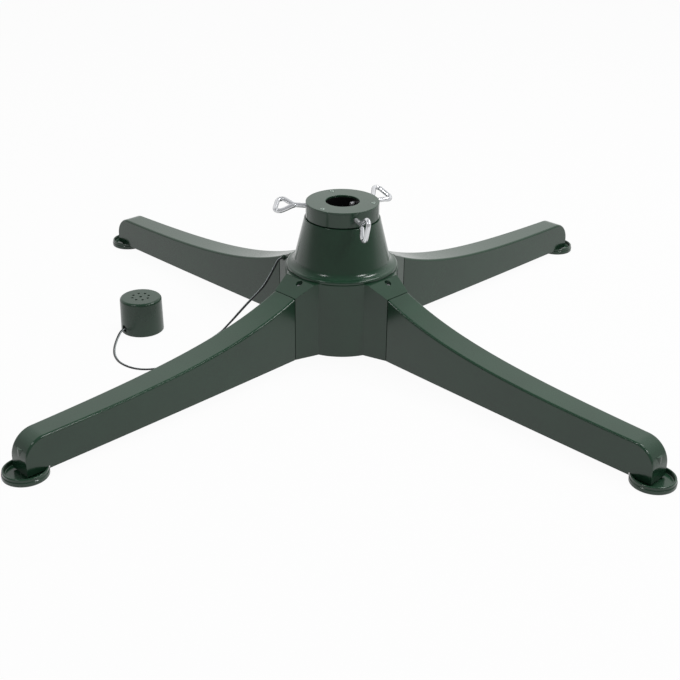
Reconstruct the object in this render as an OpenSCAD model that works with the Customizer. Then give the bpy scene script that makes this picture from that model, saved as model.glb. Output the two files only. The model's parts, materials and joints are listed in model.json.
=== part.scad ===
// Rotating tree stand: a moulded hub on four sweeping legs with dish feet, a belled cover, a turning
// head with three eye bolts that clamp the trunk, a geared motor drive, and a corded sound pod.
// Millimetres. The origin is on the floor under the head's axis, +Z is up and the front faces -Y.

/* [Stance] */
// Distance from the head's axis to the centre of each foot
foot_reach = 400; // [330:1:480]
// Height of the head's top face above the floor
head_top = 164; // [160:1:200]

/* [Hub] */
// Outer radius of the round part of the hub
hub_r = 61; // [59:0.5:74]
// Height of the flat deck that carries the cover and the bearing
hub_deck = 92; // [88:0.5:96]
// Height of the hub's lower edge above the floor
hub_floor = 10; // [8:0.5:11]
// Wall thickness of the hub moulding
hub_wall = 2.8; // [2:0.1:3]
// Width of each hub arm, and of a leg where it meets the arm
arm_w = 31.6; // [26:0.1:34]
// Width of each hub arm where it leaves the round part
arm_root_w = 46; // [40:0.5:50]
// Length of an arm from the round part to its seam with the leg
arm_out = 22; // [20:0.5:30]

/* [Legs] */
// Height of a leg's top at the seam
seam_top = 81.2; // [72:0.1:83]
// Height that the leg's top curve settles towards
leg_low = 38.4; // [34:0.1:44]
// Distance over which the curve falls by about two thirds
leg_fall = 100; // [80:1:125]
// Height of a leg's lower edge at the seam
seam_under = 10.4; // [10:0.1:13]
// Height of a leg's lower edge at its outer end
tip_under = 5; // [4:0.1:8]
// Width of a leg at its outer end
leg_tip_w = 24.6; // [20:0.1:29]
// Wall thickness of a leg
leg_wall = 2.6; // [2:0.1:3]
// Radius of the rounded nose at the outer end
nose_r = 22; // [14:0.5:26]
// How far a leg runs on past the centre of its foot
leg_over = 5; // [4.5:0.1:9]
// Radius along the leg's upper edges
edge_r = 2.4; // [0.8:0.1:2.5]
// Length of the tongue that plugs into the hub arm
tongue_len = 25; // [18:0.5:26]
// Number of cross ribs under each leg
rib_count = 7; // [3:1:9]

/* [Feet] */
// Outer diameter of a foot dish
foot_d = 43.2; // [38:0.1:52]
// Height of a foot dish
foot_h = 7.6; // [6.8:0.1:7.8]
// Thickness of the floor of a foot dish
foot_floor = 3; // [2.6:0.1:3.6]

/* [Cover] */
// Radius of the cover at its top opening
cover_top_r = 40.5; // [40:0.1:50]
// Radius of the cone just above the flared foot
cover_waist_r = 51.3; // [50:0.1:54]
// Height of that waist above the deck
cover_waist_h = 10; // [9:0.5:14]
// Wall thickness of the cover
cover_wall = 2.2; // [1.6:0.1:2.6]

/* [Head] */
// Outer diameter of the turning head
head_d = 78.2; // [74:0.1:79]
// Height of the head above the gap over the cover
head_h = 16.4; // [15.8:0.1:18.5]
// Thickness of the head's lid
lid_t = 2; // [1.6:0.1:2.2]
// Diameter of the round mouth in the lid
mouth_d = 36; // [35.6:0.1:40]
// Diameter of the bore that takes the trunk or pole
socket_d = 35.2; // [30:0.1:35.4]
// Wall thickness of the spindle tube
spindle_wall = 3; // [2.2:0.1:3.4]

/* [Clamp bolts] */
// Diameter of the bent rod
rod_d = 5; // [4:0.1:5.6]
// Depth of the bolts' axes below the top face
bolt_drop = 8; // [7.6:0.1:8.2]
// Direction of the rear bolt, counted from +X
bolt_az = 51; // [40:1:70]
// Distance from the axis to the tip of each bolt
bolt_tip = 14; // [12:0.5:16]
// Distance from the axis to the narrow end of each eye
eye_start = 52.4; // [50:0.1:58]
// Length of an eye along the bolt, between rod centres
eye_len = 18.9; // [17:0.1:24]
// Width of an eye at its outer side, between the sides' centre lines
eye_w = 29.8; // [25:0.1:32]
// How far the eye's middle lies to the side of the bolt's axis
eye_skew = 0.9; // [0:0.1:2]
// Bend radius of an eye's outer corners
eye_bend = 4.9; // [4:0.1:5.4]

/* [Drive] */
// Gear module, the pitch diameter over the number of teeth
gear_module = 1.2; // [1.15:0.01:1.22]
// Teeth on the spindle gear
gear_teeth = 60; // [60:1:60]
// Teeth on the motor pinion
pinion_teeth = 15; // [14:1:16]
// Width of both gears' faces
gear_face = 8; // [6:0.5:8]
// Play between meshing teeth, measured round the pitch circle
gear_play = 0.3; // [0.2:0.05:0.5]
// Diameter of the motor's can
motor_d = 42; // [36:0.5:42]
// Height of the motor's can
motor_h = 19; // [14:0.5:19.5]

/* [Bearing] */
// Diameter of a bearing ball
ball_d = 6; // [5:0.1:6.4]
// Number of balls
ball_count = 16; // [8:1:20]
// Radius of the circle that the balls run on
ball_ring_r = 29.2; // [28.8:0.1:30]

/* [Sound pod] */
// Outer diameter of the pod at its foot
pod_d = 47.6; // [44:0.1:56]
// Height of the pod
pod_h = 39.5; // [36:0.1:48]
// Wall thickness of the pod
pod_wall = 2; // [1.6:0.1:2.4]
// Diameter of the sound holes in the pod's top
sound_hole_d = 2.9; // [2:0.1:3.4]
// Radius of the ring of sound holes
sound_ring_r = 9.3; // [7:0.1:12]

/* [Cord] */
// Width of the flat twin lead
cord_w = 2.8; // [2.4:0.1:3.2]
// Thickness of the flat twin lead
cord_t = 1.4; // [1.2:0.1:1.4]

/* [Hidden] */

$fn = 64;
eps = 0.01;

green = [0.15, 0.26, 0.20];
dark = [0.06, 0.07, 0.07];
zinc = [0.80, 0.81, 0.82];
steel = [0.62, 0.63, 0.65];
nylon = [0.88, 0.87, 0.82];
board_green = [0.10, 0.35, 0.18];

// Clearances, each used wherever two pieces meet that way
seat_gap = 0.3;      // a loose piece beside its neighbour
seam_gap = 0.8;      // the dark line between an arm and its leg
slip_gap = 0.05;     // a pushed-on or screwed piece in its hole
run_gap = 0.08;      // a turning shaft in its bush
turn_gap = 1.2;      // the dark line between the head and the cover
pass_gap = 0.25;     // a screw shank in a hole that it passes through freely

// Azimuths of the four legs, in the order of their names
FRONT_RIGHT = -45;
REAR_RIGHT = 45;
REAR_LEFT = 135;
FRONT_LEFT = -135;
LEG_AZ = [FRONT_RIGHT, REAR_RIGHT, REAR_LEFT, FRONT_LEFT];
SIDE_AZ = [0, 90, 180, 270];

arm_reach = hub_r + arm_out;

// Heights of the stack on the axis
cover_top = head_top - head_h - turn_gap;
head_under = head_top - head_h;
plate_t = 2.6;
bolt_z = head_top - bolt_drop;
spindle_r = socket_d / 2 + spindle_wall;
spindle_top = bolt_z - rod_d / 2 - 3.5;
gear_z = 47;
gear_top = gear_z + gear_face;
cap_t = 4;

// Bearing stack, upwards from the deck
race_t = 3.9;
race_half_w = 4;
race_gap = 1.6;      // from a race's face to the plane of the ball centres
shelf_t = 3;
shelf_z = hub_deck + 26;
ball_z = shelf_z + shelf_t + race_t + race_gap;
upper_race_z = ball_z + race_gap;
thrust_z = upper_race_z + race_t;
ring_in = ball_ring_r - race_half_w;
ring_out = ball_ring_r + race_half_w;

// Leg curves, all functions of the distance from the axis
leg_end = foot_reach + leg_over;
nose_start = leg_end - nose_r;
function top_z(r) = leg_low + (seam_top - leg_low) * exp(-(r - arm_reach) / leg_fall);
function under_z(r) = seam_under + (tip_under - seam_under) * (r - arm_reach) / (leg_end - arm_reach);
function half_w(r) =
    (arm_w + (leg_tip_w - arm_w) * pow(max(0, (r - arm_reach) / (leg_end - arm_reach)), 2)) / 2;
nose_top = top_z(nose_start);
function nose_z(r) = nose_top - nose_r + sqrt(max(0, pow(nose_r, 2) - pow(r - nose_start, 2)));
function skin_z(r) = r <= nose_start ? top_z(r) : nose_z(r);

// Screws: shank radius, head radius and head height
leg_screw = [1.9, 3.2, 2.2];
foot_screw = [1.9, 3.6, 1.5];
small_screw = [1.4, 2.7, 1.5];
lid_screw = [1.4, 2.5, 1.2];
tiny_screw = [1.0, 1.9, 1.2];

// Points of an arc about a centre
function arc(c, r, a0, a1, n) = [for (i = [0:n])
    let (a = a0 + (a1 - a0) * i / n) [c[0] + r * cos(a), c[1] + r * sin(a)]];

// A round ring with its lower face at z
module ring(r_out, r_in, z, h, n = 96) {
    translate([0, 0, z]) difference() {
        cylinder(r = r_out, h = h, $fn = n);
        translate([0, 0, -1]) cylinder(r = r_in, h = h + 2, $fn = n);
    }
}

// A pan-head screw that points down, with the underside of its head at the origin
module screw(size, length) {
    shank_r = size[0];
    head_r = size[1];
    head_t = size[2];
    slot_w = head_r * 0.28;
    slot_l = head_r * 1.1;
    translate([0, 0, -length]) cylinder(r = shank_r, h = length + eps, $fn = 24);
    difference() {
        rotate_extrude($fn = 32) polygon(concat(
            [[0, 0], [head_r, 0], [head_r, head_t * 0.35]],
            arc([head_r - head_t * 0.65, head_t * 0.35], head_t * 0.65, 18, 90, 4),
            [[0, head_t]]));
        for (a = [0, 90]) rotate(a)
            translate([-slot_l / 2, -slot_w / 2, head_t * 0.45]) cube([slot_l, slot_w, head_t]);
    }
}

// ---------------------------------------------------------------- hub

// Plan of the hub: a round centre with four arms that narrow towards their seams
root_half = arm_root_w / 2;
root_x = sqrt(pow(hub_r, 2) - pow(root_half, 2));
arm_taper = (root_half - arm_w / 2) / (arm_reach - root_x);
module hub_plan(inset, reach) {
    start_x = root_x - 8;
    function half_at(x) = root_half - arm_taper * (x - root_x) - inset;
    circle(r = hub_r - inset, $fn = 144);
    for (a = LEG_AZ) rotate(a) polygon([
        [start_x, -half_at(start_x)], [reach, -half_at(reach)],
        [reach, half_at(reach)], [start_x, half_at(start_x)]]);
}

// Side view of what is cut away over and under one hub arm: its top falls straight from the deck to
// the seam, where the leg's curve takes over
cut_from = hub_r + 0.5;
function arm_top(r) =
    seam_top + (hub_deck - deck_step - seam_top) * (arm_reach - r) / (arm_reach - cut_from);
module arm_cut(inset) {
    r0 = cut_from - inset;
    r1 = arm_reach + 6;
    polygon([[r0, arm_top(r0) - inset], [r1, arm_top(r1) - inset],
        [r1, hub_deck + 1], [r0, hub_deck + 1]]);
    // the underside's slope, started a little below the hub's lower edge
    slope = (seam_under - hub_floor) / (arm_reach - r0);
    r2 = r0 - 5;
    polygon([[r2, hub_floor - 3], [r1, hub_floor - 3], [r1, hub_floor + slope * (r1 - r0)],
        [r2, hub_floor - slope * (r0 - r2)]]);
}

// The hub's outer or inner form; a larger inset gives the inner one
module hub_form(inset, under, reach) {
    difference() {
        translate([0, 0, under]) linear_extrude(hub_deck - inset - under) hub_plan(inset, reach);
        for (a = LEG_AZ) rotate(a) translate([0, arm_root_w / 2, 0]) rotate([90, 0, 0])
            linear_extrude(arm_root_w) arm_cut(inset);
    }
}

deck_step = 0.5;
sleeve_in = spindle_r + 3.2;
sleeve_out = sleeve_in + 3;
sleeve_z = gear_top + 5;
post_at = hub_r - 11;
post_r = 4;
web_turn = 22;
cover_plate_z = hub_floor + 2;
cover_plate_t = 2.4;
cover_boss_r = 3.2;
cover_screw_at = cover_waist_r - cover_wall - 0.2;
flange_r = cover_screw_at - cover_boss_r - 0.8;
housing_screw_at = flange_r - 4;
leg_screw_at = arm_reach - 17.5;
leg_screw_side = 3;
cup_r = leg_screw[1] + 0.3;
cup_depth = 3.2;
cup_wall = 1.6;
cup_floor_z = arm_top(leg_screw_at + cup_r) - cup_depth;

// Route of the lead's centre line, from the hub's bush to the pod's bush, for a hub of this radius
// and deck height; its upper points move with the hub's rear left arm
ROUTE_HUB_R = 61;
ROUTE_DECK = 92;
UPPER_POINTS = 16;
cord_route = [
    [-67, 38, 82.5], [-69.5, 36.5, 82], [-71.8, 35.3, 79.5], [-73.5, 34.5, 76], [-75.3, 34, 72.5],
    [-77.2, 33.4, 69], [-79.6, 32.2, 64.5], [-82.3, 30.5, 60], [-85.8, 28.5, 54.5], [-90.8, 27.3, 48],
    [-97, 27, 41], [-103.5, 26.8, 34], [-109.8, 26, 27], [-116, 24.8, 20], [-122.4, 22.7, 13],
    [-128.5, 19.3, 7.2], [-133.5, 14.5, 3.2], [-138.5, 8, 1.4], [-143.5, -0.5, 0.8],
    [-149, -12, 0.7], [-154.5, -24, 0.7], [-160, -36, 0.7], [-166, -48, 0.7], [-173, -58.5, 0.7],
    [-182, -67.5, 0.7], [-191.5, -73.5, 0.7], [-201, -76.5, 0.7], [-211, -77, 0.7], [-221, -74, 0.7],
    [-230, -68, 0.7], [-237, -60.5, 0.7], [-242, -51.5, 0.7], [-245.5, -41.5, 0.7], [-247.5, -31, 0.7],
    [-248.5, -21, 0.7], [-248.8, -11, 0.9], [-248.3, -2.5, 2], [-247, 3.5, 4], [-244.5, 7.5, 6],
    [-241, 10, 7]
];
pod_c = [-225, 24];
hub_shift = [(hub_r - ROUTE_HUB_R) * cos(REAR_LEFT), (hub_r - ROUTE_HUB_R) * sin(REAR_LEFT),
    hub_deck - ROUTE_DECK];
lead_route = [for (i = [0:len(cord_route) - 1])
    cord_route[i] + hub_shift * max(0, 1 - i / UPPER_POINTS)];

// The cord leaves the hub through the first point of its route
cord_exit = lead_route[0];
cord_exit_az = REAR_LEFT + 90 - atan(arm_taper);
cord_bush_l = 2.2;
grommet_hole_r = 2.4;
inlet_az = 90;
inlet_z = 32;
inlet_r = 5.5;

module hub_shell() {
    color(green) difference() {
        hub_form(0, hub_floor, arm_reach);
        difference() {
            hub_form(hub_wall, -1, arm_reach + 5);
            // screw cups that hang from the arm tops
            for (a = LEG_AZ) rotate(a) translate([leg_screw_at, leg_screw_side, cup_floor_z - cup_wall])
                cylinder(r = cup_r + cup_wall, h = 30);
            // posts that take the bottom cover's screws
            for (a = LEG_AZ) rotate(a) translate([post_at, 0, cover_plate_z + cover_plate_t])
                cylinder(r = post_r, h = hub_deck, $fn = 32);
            // sleeve round the spindle with its four webs
            translate([0, 0, sleeve_z]) cylinder(r = sleeve_out, h = hub_deck, $fn = 96);
            for (a = SIDE_AZ) rotate(a + web_turn)
                translate([0, -1, sleeve_z + 8]) cube([hub_r, 2, hub_deck]);
        }
        translate([0, 0, sleeve_z - 1]) cylinder(r = sleeve_in, h = hub_deck, $fn = 96);
        for (a = LEG_AZ) rotate(a) {
            translate([leg_screw_at, leg_screw_side, cup_floor_z]) cylinder(r = cup_r, h = 20, $fn = 32);
            translate([leg_screw_at, leg_screw_side, cup_floor_z - cup_wall - 1])
                cylinder(r = leg_screw[0] + pass_gap, h = 20, $fn = 24);
            translate([post_at, 0, 0]) cylinder(r = small_screw[0] + slip_gap, h = 28, $fn = 24);
            translate([housing_screw_at, 0, hub_deck - 9])
                cylinder(r = small_screw[0] + slip_gap, h = 10, $fn = 24);
        }
        for (a = SIDE_AZ) rotate(a) translate([cover_screw_at, 0, hub_deck - hub_wall - 1])
            cylinder(r = small_screw[0] + pass_gap, h = hub_wall + 2, $fn = 24);
        translate(cord_exit) rotate([0, -90, cord_exit_az])
            cylinder(r = grommet_hole_r, h = hub_wall + cord_bush_l + 2, $fn = 32);
        rotate(inlet_az) translate([hub_r - hub_wall - 2, 0, inlet_z])
            rotate([0, 90, 0]) cylinder(r = inlet_r + slip_gap, h = hub_wall + 4, $fn = 48);
    }
}

// ---------------------------------------------------------------- bottom cover

vent_r = hub_r - 34;
motor_at = gear_module * (gear_teeth + pinion_teeth) / 2;
can_at = motor_at - 11;
can_z = 17;
can_top = can_z + motor_h;
lug_at = motor_d / 2 + 5;
lug_t = 1.4;
board_c = [-38, 0];
board_size = [22, 36, 1.6];
board_z = 28;
board_holes = [[-8, -15], [8, 15]];

module bottom_cover() {
    plate_r = hub_r - hub_wall - seat_gap;
    color(green) difference() {
        union() {
            translate([0, 0, cover_plate_z]) cylinder(r = plate_r, h = cover_plate_t, $fn = 144);
            // stiffening ring and radial webs
            ring(vent_r + 1.5, vent_r - 1, cover_plate_z, 4.4);
            // pads under the motor's can and posts for its lugs
            for (s = [1, -1]) translate([can_at, s * lug_at, cover_plate_z])
                cylinder(r = 4, h = can_top - lug_t - cover_plate_z, $fn = 32);
            translate([can_at, 0, cover_plate_z])
                cylinder(r = 8, h = can_z - cover_plate_z, $fn = 48);
            for (p = board_holes) translate([board_c[0] + p[0], board_c[1] + p[1], cover_plate_z])
                cylinder(r = 2.8, h = board_z - cover_plate_z, $fn = 32);
        }
        for (a = LEG_AZ) rotate(a) {
            translate([post_at, 0, 0]) cylinder(r = small_screw[0] + pass_gap, h = 30, $fn = 24);
            translate([post_at, 0, 0])
                cylinder(r = small_screw[1] + 0.3, h = cover_plate_z + 1.2, $fn = 32);
        }
        for (s = [1, -1]) translate([can_at, s * lug_at, can_top - 14])
            cylinder(r = small_screw[0] + slip_gap, h = 20, $fn = 24);
        for (p = board_holes) translate([board_c[0] + p[0], board_c[1] + p[1], board_z - 8])
            cylinder(r = tiny_screw[0] + slip_gap, h = 20, $fn = 24);
        // vent slots in two fans
        for (side = [90, 270], i = [-2:2]) rotate(side + i * 13)
            translate([vent_r + 5, -1.5, cover_plate_z - 1]) {
                cube([14, 3, 6]);
                translate([0, 1.5, 0]) cylinder(r = 1.5, h = 6, $fn = 24);
                translate([14, 1.5, 0]) cylinder(r = 1.5, h = 6, $fn = 24);
            }
    }
}

module bottom_cover_screws() {
    color(steel) for (a = LEG_AZ) rotate(a) translate([post_at, 0, cover_plate_z + 1.2])
        mirror([0, 0, 1]) screw(small_screw, 13);
}

// ---------------------------------------------------------------- legs

// Stations along a leg: even steps down the curve, then even angles round the nose
curve_steps = 14;
nose_steps = 6;
leg_root = arm_reach + seam_gap;
leg_stations = concat(
    [for (i = [0:curve_steps]) leg_root + (nose_start - leg_root) * i / curve_steps],
    [for (i = [1:nose_steps]) nose_start + nose_r * sin(90 * i / nose_steps)]);

// One cross-section: an upright rectangle whose two upper corners are rounded
edge_steps = 3;
function leg_section(r) = let (w = half_w(r), lo = under_z(r), hi = skin_z(r)) concat(
    [[r, -w, lo]],
    [for (p = arc([-w + edge_r, hi - edge_r], edge_r, 180, 90, edge_steps)) [r, p[0], p[1]]],
    [for (p = arc([w - edge_r, hi - edge_r], edge_r, 90, 0, edge_steps)) [r, p[0], p[1]]],
    [[r, w, lo]]);

// Skins a list of equal rings into one closed solid
module loft(rings) {
    n = len(rings[0]);
    m = len(rings);
    pts = [for (s = rings, p = s) p];
    sides = [for (i = [0:m - 2], j = [0:n - 1])
        let (a = i * n + j, b = i * n + (j + 1) % n) each [[a, b, b + n], [a, b + n, a + n]]];
    caps = [for (j = [1:n - 2]) each [[0, j + 1, j], [(m - 1) * n, (m - 1) * n + j, (m - 1) * n + j + 1]]];
    polyhedron(points = pts, faces = concat(sides, caps));
}

// The hollow under a leg, open below; its roof follows the outside at the wall's thickness
shoulder_t = 3;
function roof_z(r) = r <= nose_start ? top_z(r) - leg_wall
    : nose_top - nose_r + sqrt(max(0, pow(nose_r - leg_wall, 2) - pow(r - nose_start, 2)));
module leg_hollow() {
    r0 = leg_root + shoulder_t;
    r1 = leg_end - leg_wall;
    steps = 16;
    stations = [for (i = [0:steps]) r0 + (r1 - r0) * i / steps];
    intersection() {
        translate([0, arm_w, 0]) rotate([90, 0, 0]) linear_extrude(2 * arm_w)
            polygon(concat([[r0, -1], [r1, -1]],
                [for (i = [steps:-1:0]) [stations[i], roof_z(stations[i])]]));
        translate([0, 0, -2]) linear_extrude(seam_top + 20) polygon(concat(
            [for (r = stations) [r, leg_wall - half_w(r)]],
            [for (i = [steps:-1:0]) [stations[i], half_w(stations[i]) - leg_wall]]));
    }
}

tongue_w = arm_w - 2 * hub_wall - 2 * seat_gap;
tongue_in = arm_reach - tongue_len;
tongue_t = 2.4;
tongue_low = seam_under + 3;
tongue_top = seam_top - hub_wall - seat_gap;
boss_top = cup_floor_z - cup_wall - seat_gap;
boss_r = 4.4;
boss_h = 18;
peg_r = 4.9;
rib_t = 2;
rim_w = 2.8;
function rib_at(i) = arm_reach + (nose_start - arm_reach) * i / rib_count;

module leg(az) {
    rotate(az) difference() {
        union() {
            difference() {
                loft([for (r = leg_stations) leg_section(r)]);
                difference() {
                    leg_hollow();
                    for (i = [1:rib_count]) translate([rib_at(i) - rib_t / 2, -arm_w, seam_under + 2])
                        cube([rib_t, 2 * arm_w, seam_top]);
                    translate([foot_reach, 0, 0]) cylinder(r = peg_r, h = nose_top, $fn = 48);
                }
            }
            translate([foot_reach, 0, foot_floor + slip_gap])
                cylinder(r = peg_r, h = nose_top - nose_r - foot_floor, $fn = 48);
            // tongue: a channel under the arm top with a screw boss
            difference() {
                translate([tongue_in, -tongue_w / 2, tongue_low])
                    cube([leg_root - tongue_in + 1, tongue_w, tongue_top - tongue_low]);
                translate([tongue_in + tongue_t, tongue_t - tongue_w / 2, 0])
                    cube([tongue_len - tongue_t, tongue_w - 2 * tongue_t, tongue_top - tongue_t]);
            }
            translate([leg_screw_at, leg_screw_side, boss_top - boss_h])
                cylinder(r = boss_r, h = boss_h, $fn = 32);
        }
        translate([leg_screw_at, leg_screw_side, boss_top - boss_h + 3])
            cylinder(r = leg_screw[0] + slip_gap, h = boss_h, $fn = 24);
        translate([foot_reach, 0, 0]) cylinder(r = foot_screw[0] + slip_gap, h = 17, $fn = 24);
        // notch where the dish's rim passes under the leg
        translate([foot_reach, 0, 0])
            ring(foot_d / 2 + seat_gap, foot_d / 2 - rim_w - seat_gap, -1, foot_h + seat_gap + 1);
    }
}

module leg_front_right() { color(green) leg(FRONT_RIGHT); }
module leg_rear_right() { color(green) leg(REAR_RIGHT); }
module leg_rear_left() { color(green) leg(REAR_LEFT); }
module leg_front_left() { color(green) leg(FRONT_LEFT); }

module leg_screws() {
    color(steel) for (a = LEG_AZ) rotate(a)
        translate([leg_screw_at, leg_screw_side, cup_floor_z]) screw(leg_screw, 15);
}

// ---------------------------------------------------------------- feet

module foot(az) {
    r = foot_d / 2;
    lip = foot_h * 0.55;
    rim_in = r - rim_w;
    rotate(az) translate([foot_reach, 0, 0]) difference() {
        rotate_extrude($fn = 128) polygon(concat(
            [[0, 0], [r - 1, 0]],
            arc([r - 1, 1], 1, -90, 0, 4),
            [[r, lip], [r - 0.7, lip + 0.5]],
            arc([r - 1.75, foot_h - 1.05], 1.05, 0, 180, 6),
            [[rim_in, foot_h - 1.05]],
            arc([rim_in - 1.2, foot_floor + 1.2], 1.2, 0, -90, 4),
            [[0, foot_floor]]));
        translate([0, 0, -1]) cylinder(r = foot_screw[0] + 0.3, h = foot_floor + 2, $fn = 24);
        translate([0, 0, -1]) cylinder(r = foot_screw[1] + 0.4, h = 1 + foot_screw[2] + 0.3, $fn = 32);
        // relief ring in the underside
        translate([0, 0, -eps]) ring(r - 6, r - 13, 0, 0.8, 96);
    }
}

module foot_front_right() { color(green) foot(FRONT_RIGHT); }
module foot_rear_right() { color(green) foot(REAR_RIGHT); }
module foot_rear_left() { color(green) foot(REAR_LEFT); }
module foot_front_left() { color(green) foot(FRONT_LEFT); }

module foot_screws() {
    color(steel) for (a = LEG_AZ) rotate(a)
        translate([foot_reach, 0, foot_screw[2] + 0.3]) mirror([0, 0, 1]) screw(foot_screw, 12);
}

// ---------------------------------------------------------------- cover

flare_r = 8;
flare_turn = 262;    // angle at which the hollow flare meets the rounded rim
bead_r = 2.2;
cover_lean = atan((cover_waist_r - cover_top_r) / (cover_top - hub_deck - cover_waist_h));
flare_c = [cover_waist_r + flare_r * cos(cover_lean), hub_deck + cover_waist_h + flare_r * sin(cover_lean)];
bead_c = flare_c + (flare_r + bead_r) * [cos(flare_turn), sin(flare_turn)];

// Line of the cover from the foot of the flare up to the top; the inset moves it inwards
function cover_line(inset) = concat(
    arc(flare_c, flare_r + inset, flare_turn, 180 + cover_lean, 7),
    [[cover_top_r - inset / cos(cover_lean), cover_top]]);

module cone_cover() {
    lip_in = cover_top_r - 4.2;
    rim_r = bead_c[0] + bead_r;
    color(green) difference() {
        rotate_extrude($fn = 160) polygon(concat(
            [[0, hub_deck], [rim_r, hub_deck]],
            arc(bead_c, bead_r, 0, flare_turn - 180, 5),
            cover_line(0), [[0, cover_top]]));
        difference() {
            rotate_extrude($fn = 160) polygon(concat(
                [[0, hub_deck - 1], [rim_r - cover_wall, hub_deck - 1]],
                cover_line(cover_wall), [[0, cover_top]]));
            // turned-in lip at the top
            translate([0, 0, cover_top - cover_wall]) cylinder(r = cover_top_r, h = 10);
            // bosses that take the screws from under the deck
            for (a = SIDE_AZ) rotate(a) translate([cover_screw_at, 0, hub_deck])
                cylinder(r = cover_boss_r, h = 30, $fn = 32);
        }
        translate([0, 0, cover_top - 10]) cylinder(r = lip_in, h = 12, $fn = 128);
        for (a = SIDE_AZ) rotate(a) translate([cover_screw_at, 0, hub_deck - 1])
            cylinder(r = small_screw[0] + slip_gap, h = 6.5, $fn = 24);
    }
}

module cone_cover_screws() {
    color(steel) for (a = SIDE_AZ) rotate(a) translate([cover_screw_at, 0, hub_deck - hub_wall])
        mirror([0, 0, 1]) screw(small_screw, 7.5);
}

// ---------------------------------------------------------------- bearing

module bearing_housing() {
    tube_out = ring_out + 3.6;
    color(dark) difference() {
        union() {
            translate([0, 0, hub_deck]) cylinder(r = flange_r, h = 3, $fn = 96);
            translate([0, 0, hub_deck]) cylinder(r = tube_out, h = shelf_z + shelf_t - hub_deck, $fn = 96);
            ring(tube_out, ring_out + 0.2, shelf_z, shelf_t + race_t - 0.6);
        }
        translate([0, 0, hub_deck - 1]) cylinder(r = tube_out - 2.6, h = shelf_z - hub_deck + 1, $fn = 96);
        translate([0, 0, hub_deck - 1]) cylinder(r = ring_in + 1, h = 60, $fn = 96);
        for (a = LEG_AZ) rotate(a) translate([housing_screw_at, 0, hub_deck - 1])
            cylinder(r = small_screw[0] + pass_gap, h = 8, $fn = 24);
    }
}

module bearing_housing_screws() {
    color(steel) for (a = LEG_AZ) rotate(a)
        translate([housing_screw_at, 0, hub_deck + 3]) screw(small_screw, 9.5);
}

// One grooved ring; the groove follows the balls with a little play
module race(z, bore) {
    color(steel) difference() {
        ring(ring_out, bore, z, race_t);
        rotate_extrude($fn = 128) translate([ball_ring_r, ball_z])
            circle(r = ball_d / 2 + slip_gap, $fn = 48);
    }
}

module lower_race() { race(shelf_z + shelf_t, ring_in + 1); }
module upper_race() { race(upper_race_z, ring_in); }

module ball_cage() {
    cage_t = 1.8;
    cage_half_w = ball_d / 2 - 0.4;
    color(nylon) difference() {
        ring(ball_ring_r + cage_half_w, ball_ring_r - cage_half_w - 1.2, ball_z - cage_t / 2, cage_t);
        for (i = [0:ball_count - 1]) rotate(i * 360 / ball_count)
            translate([ball_ring_r, 0, ball_z]) sphere(r = ball_d / 2 + slip_gap, $fn = 48);
    }
}

module bearing_balls() {
    color(zinc) for (i = [0:ball_count - 1]) rotate(i * 360 / ball_count)
        translate([ball_ring_r, 0, ball_z]) sphere(r = ball_d / 2, $fn = 32);
}

module lower_bush() {
    color(nylon) difference() {
        union() {
            translate([0, 0, sleeve_z - 2]) cylinder(r = sleeve_in + 2, h = 2, $fn = 96);
            translate([0, 0, sleeve_z - eps]) cylinder(r = sleeve_in - slip_gap, h = 10, $fn = 96);
        }
        translate([0, 0, sleeve_z - 4]) cylinder(r = spindle_r + run_gap, h = 20, $fn = 96);
    }
}

// ---------------------------------------------------------------- turning head

BOLT_AZ = [bolt_az, bolt_az + 120, bolt_az + 240];
LID_AZ = [bolt_az + 60, bolt_az + 180, bolt_az + 300];
head_r = head_d / 2;
head_wall = 3;
core_wall = 3.4;
block_w = 13;
nut_w = 8;
nut_t = 4;
nut_at = head_r - head_wall - 6;
lid_screw_at = head_r - 6.1;
skirt_r = cover_top_r - 6.4;
lid_seat = head_top - lid_t;

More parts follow.
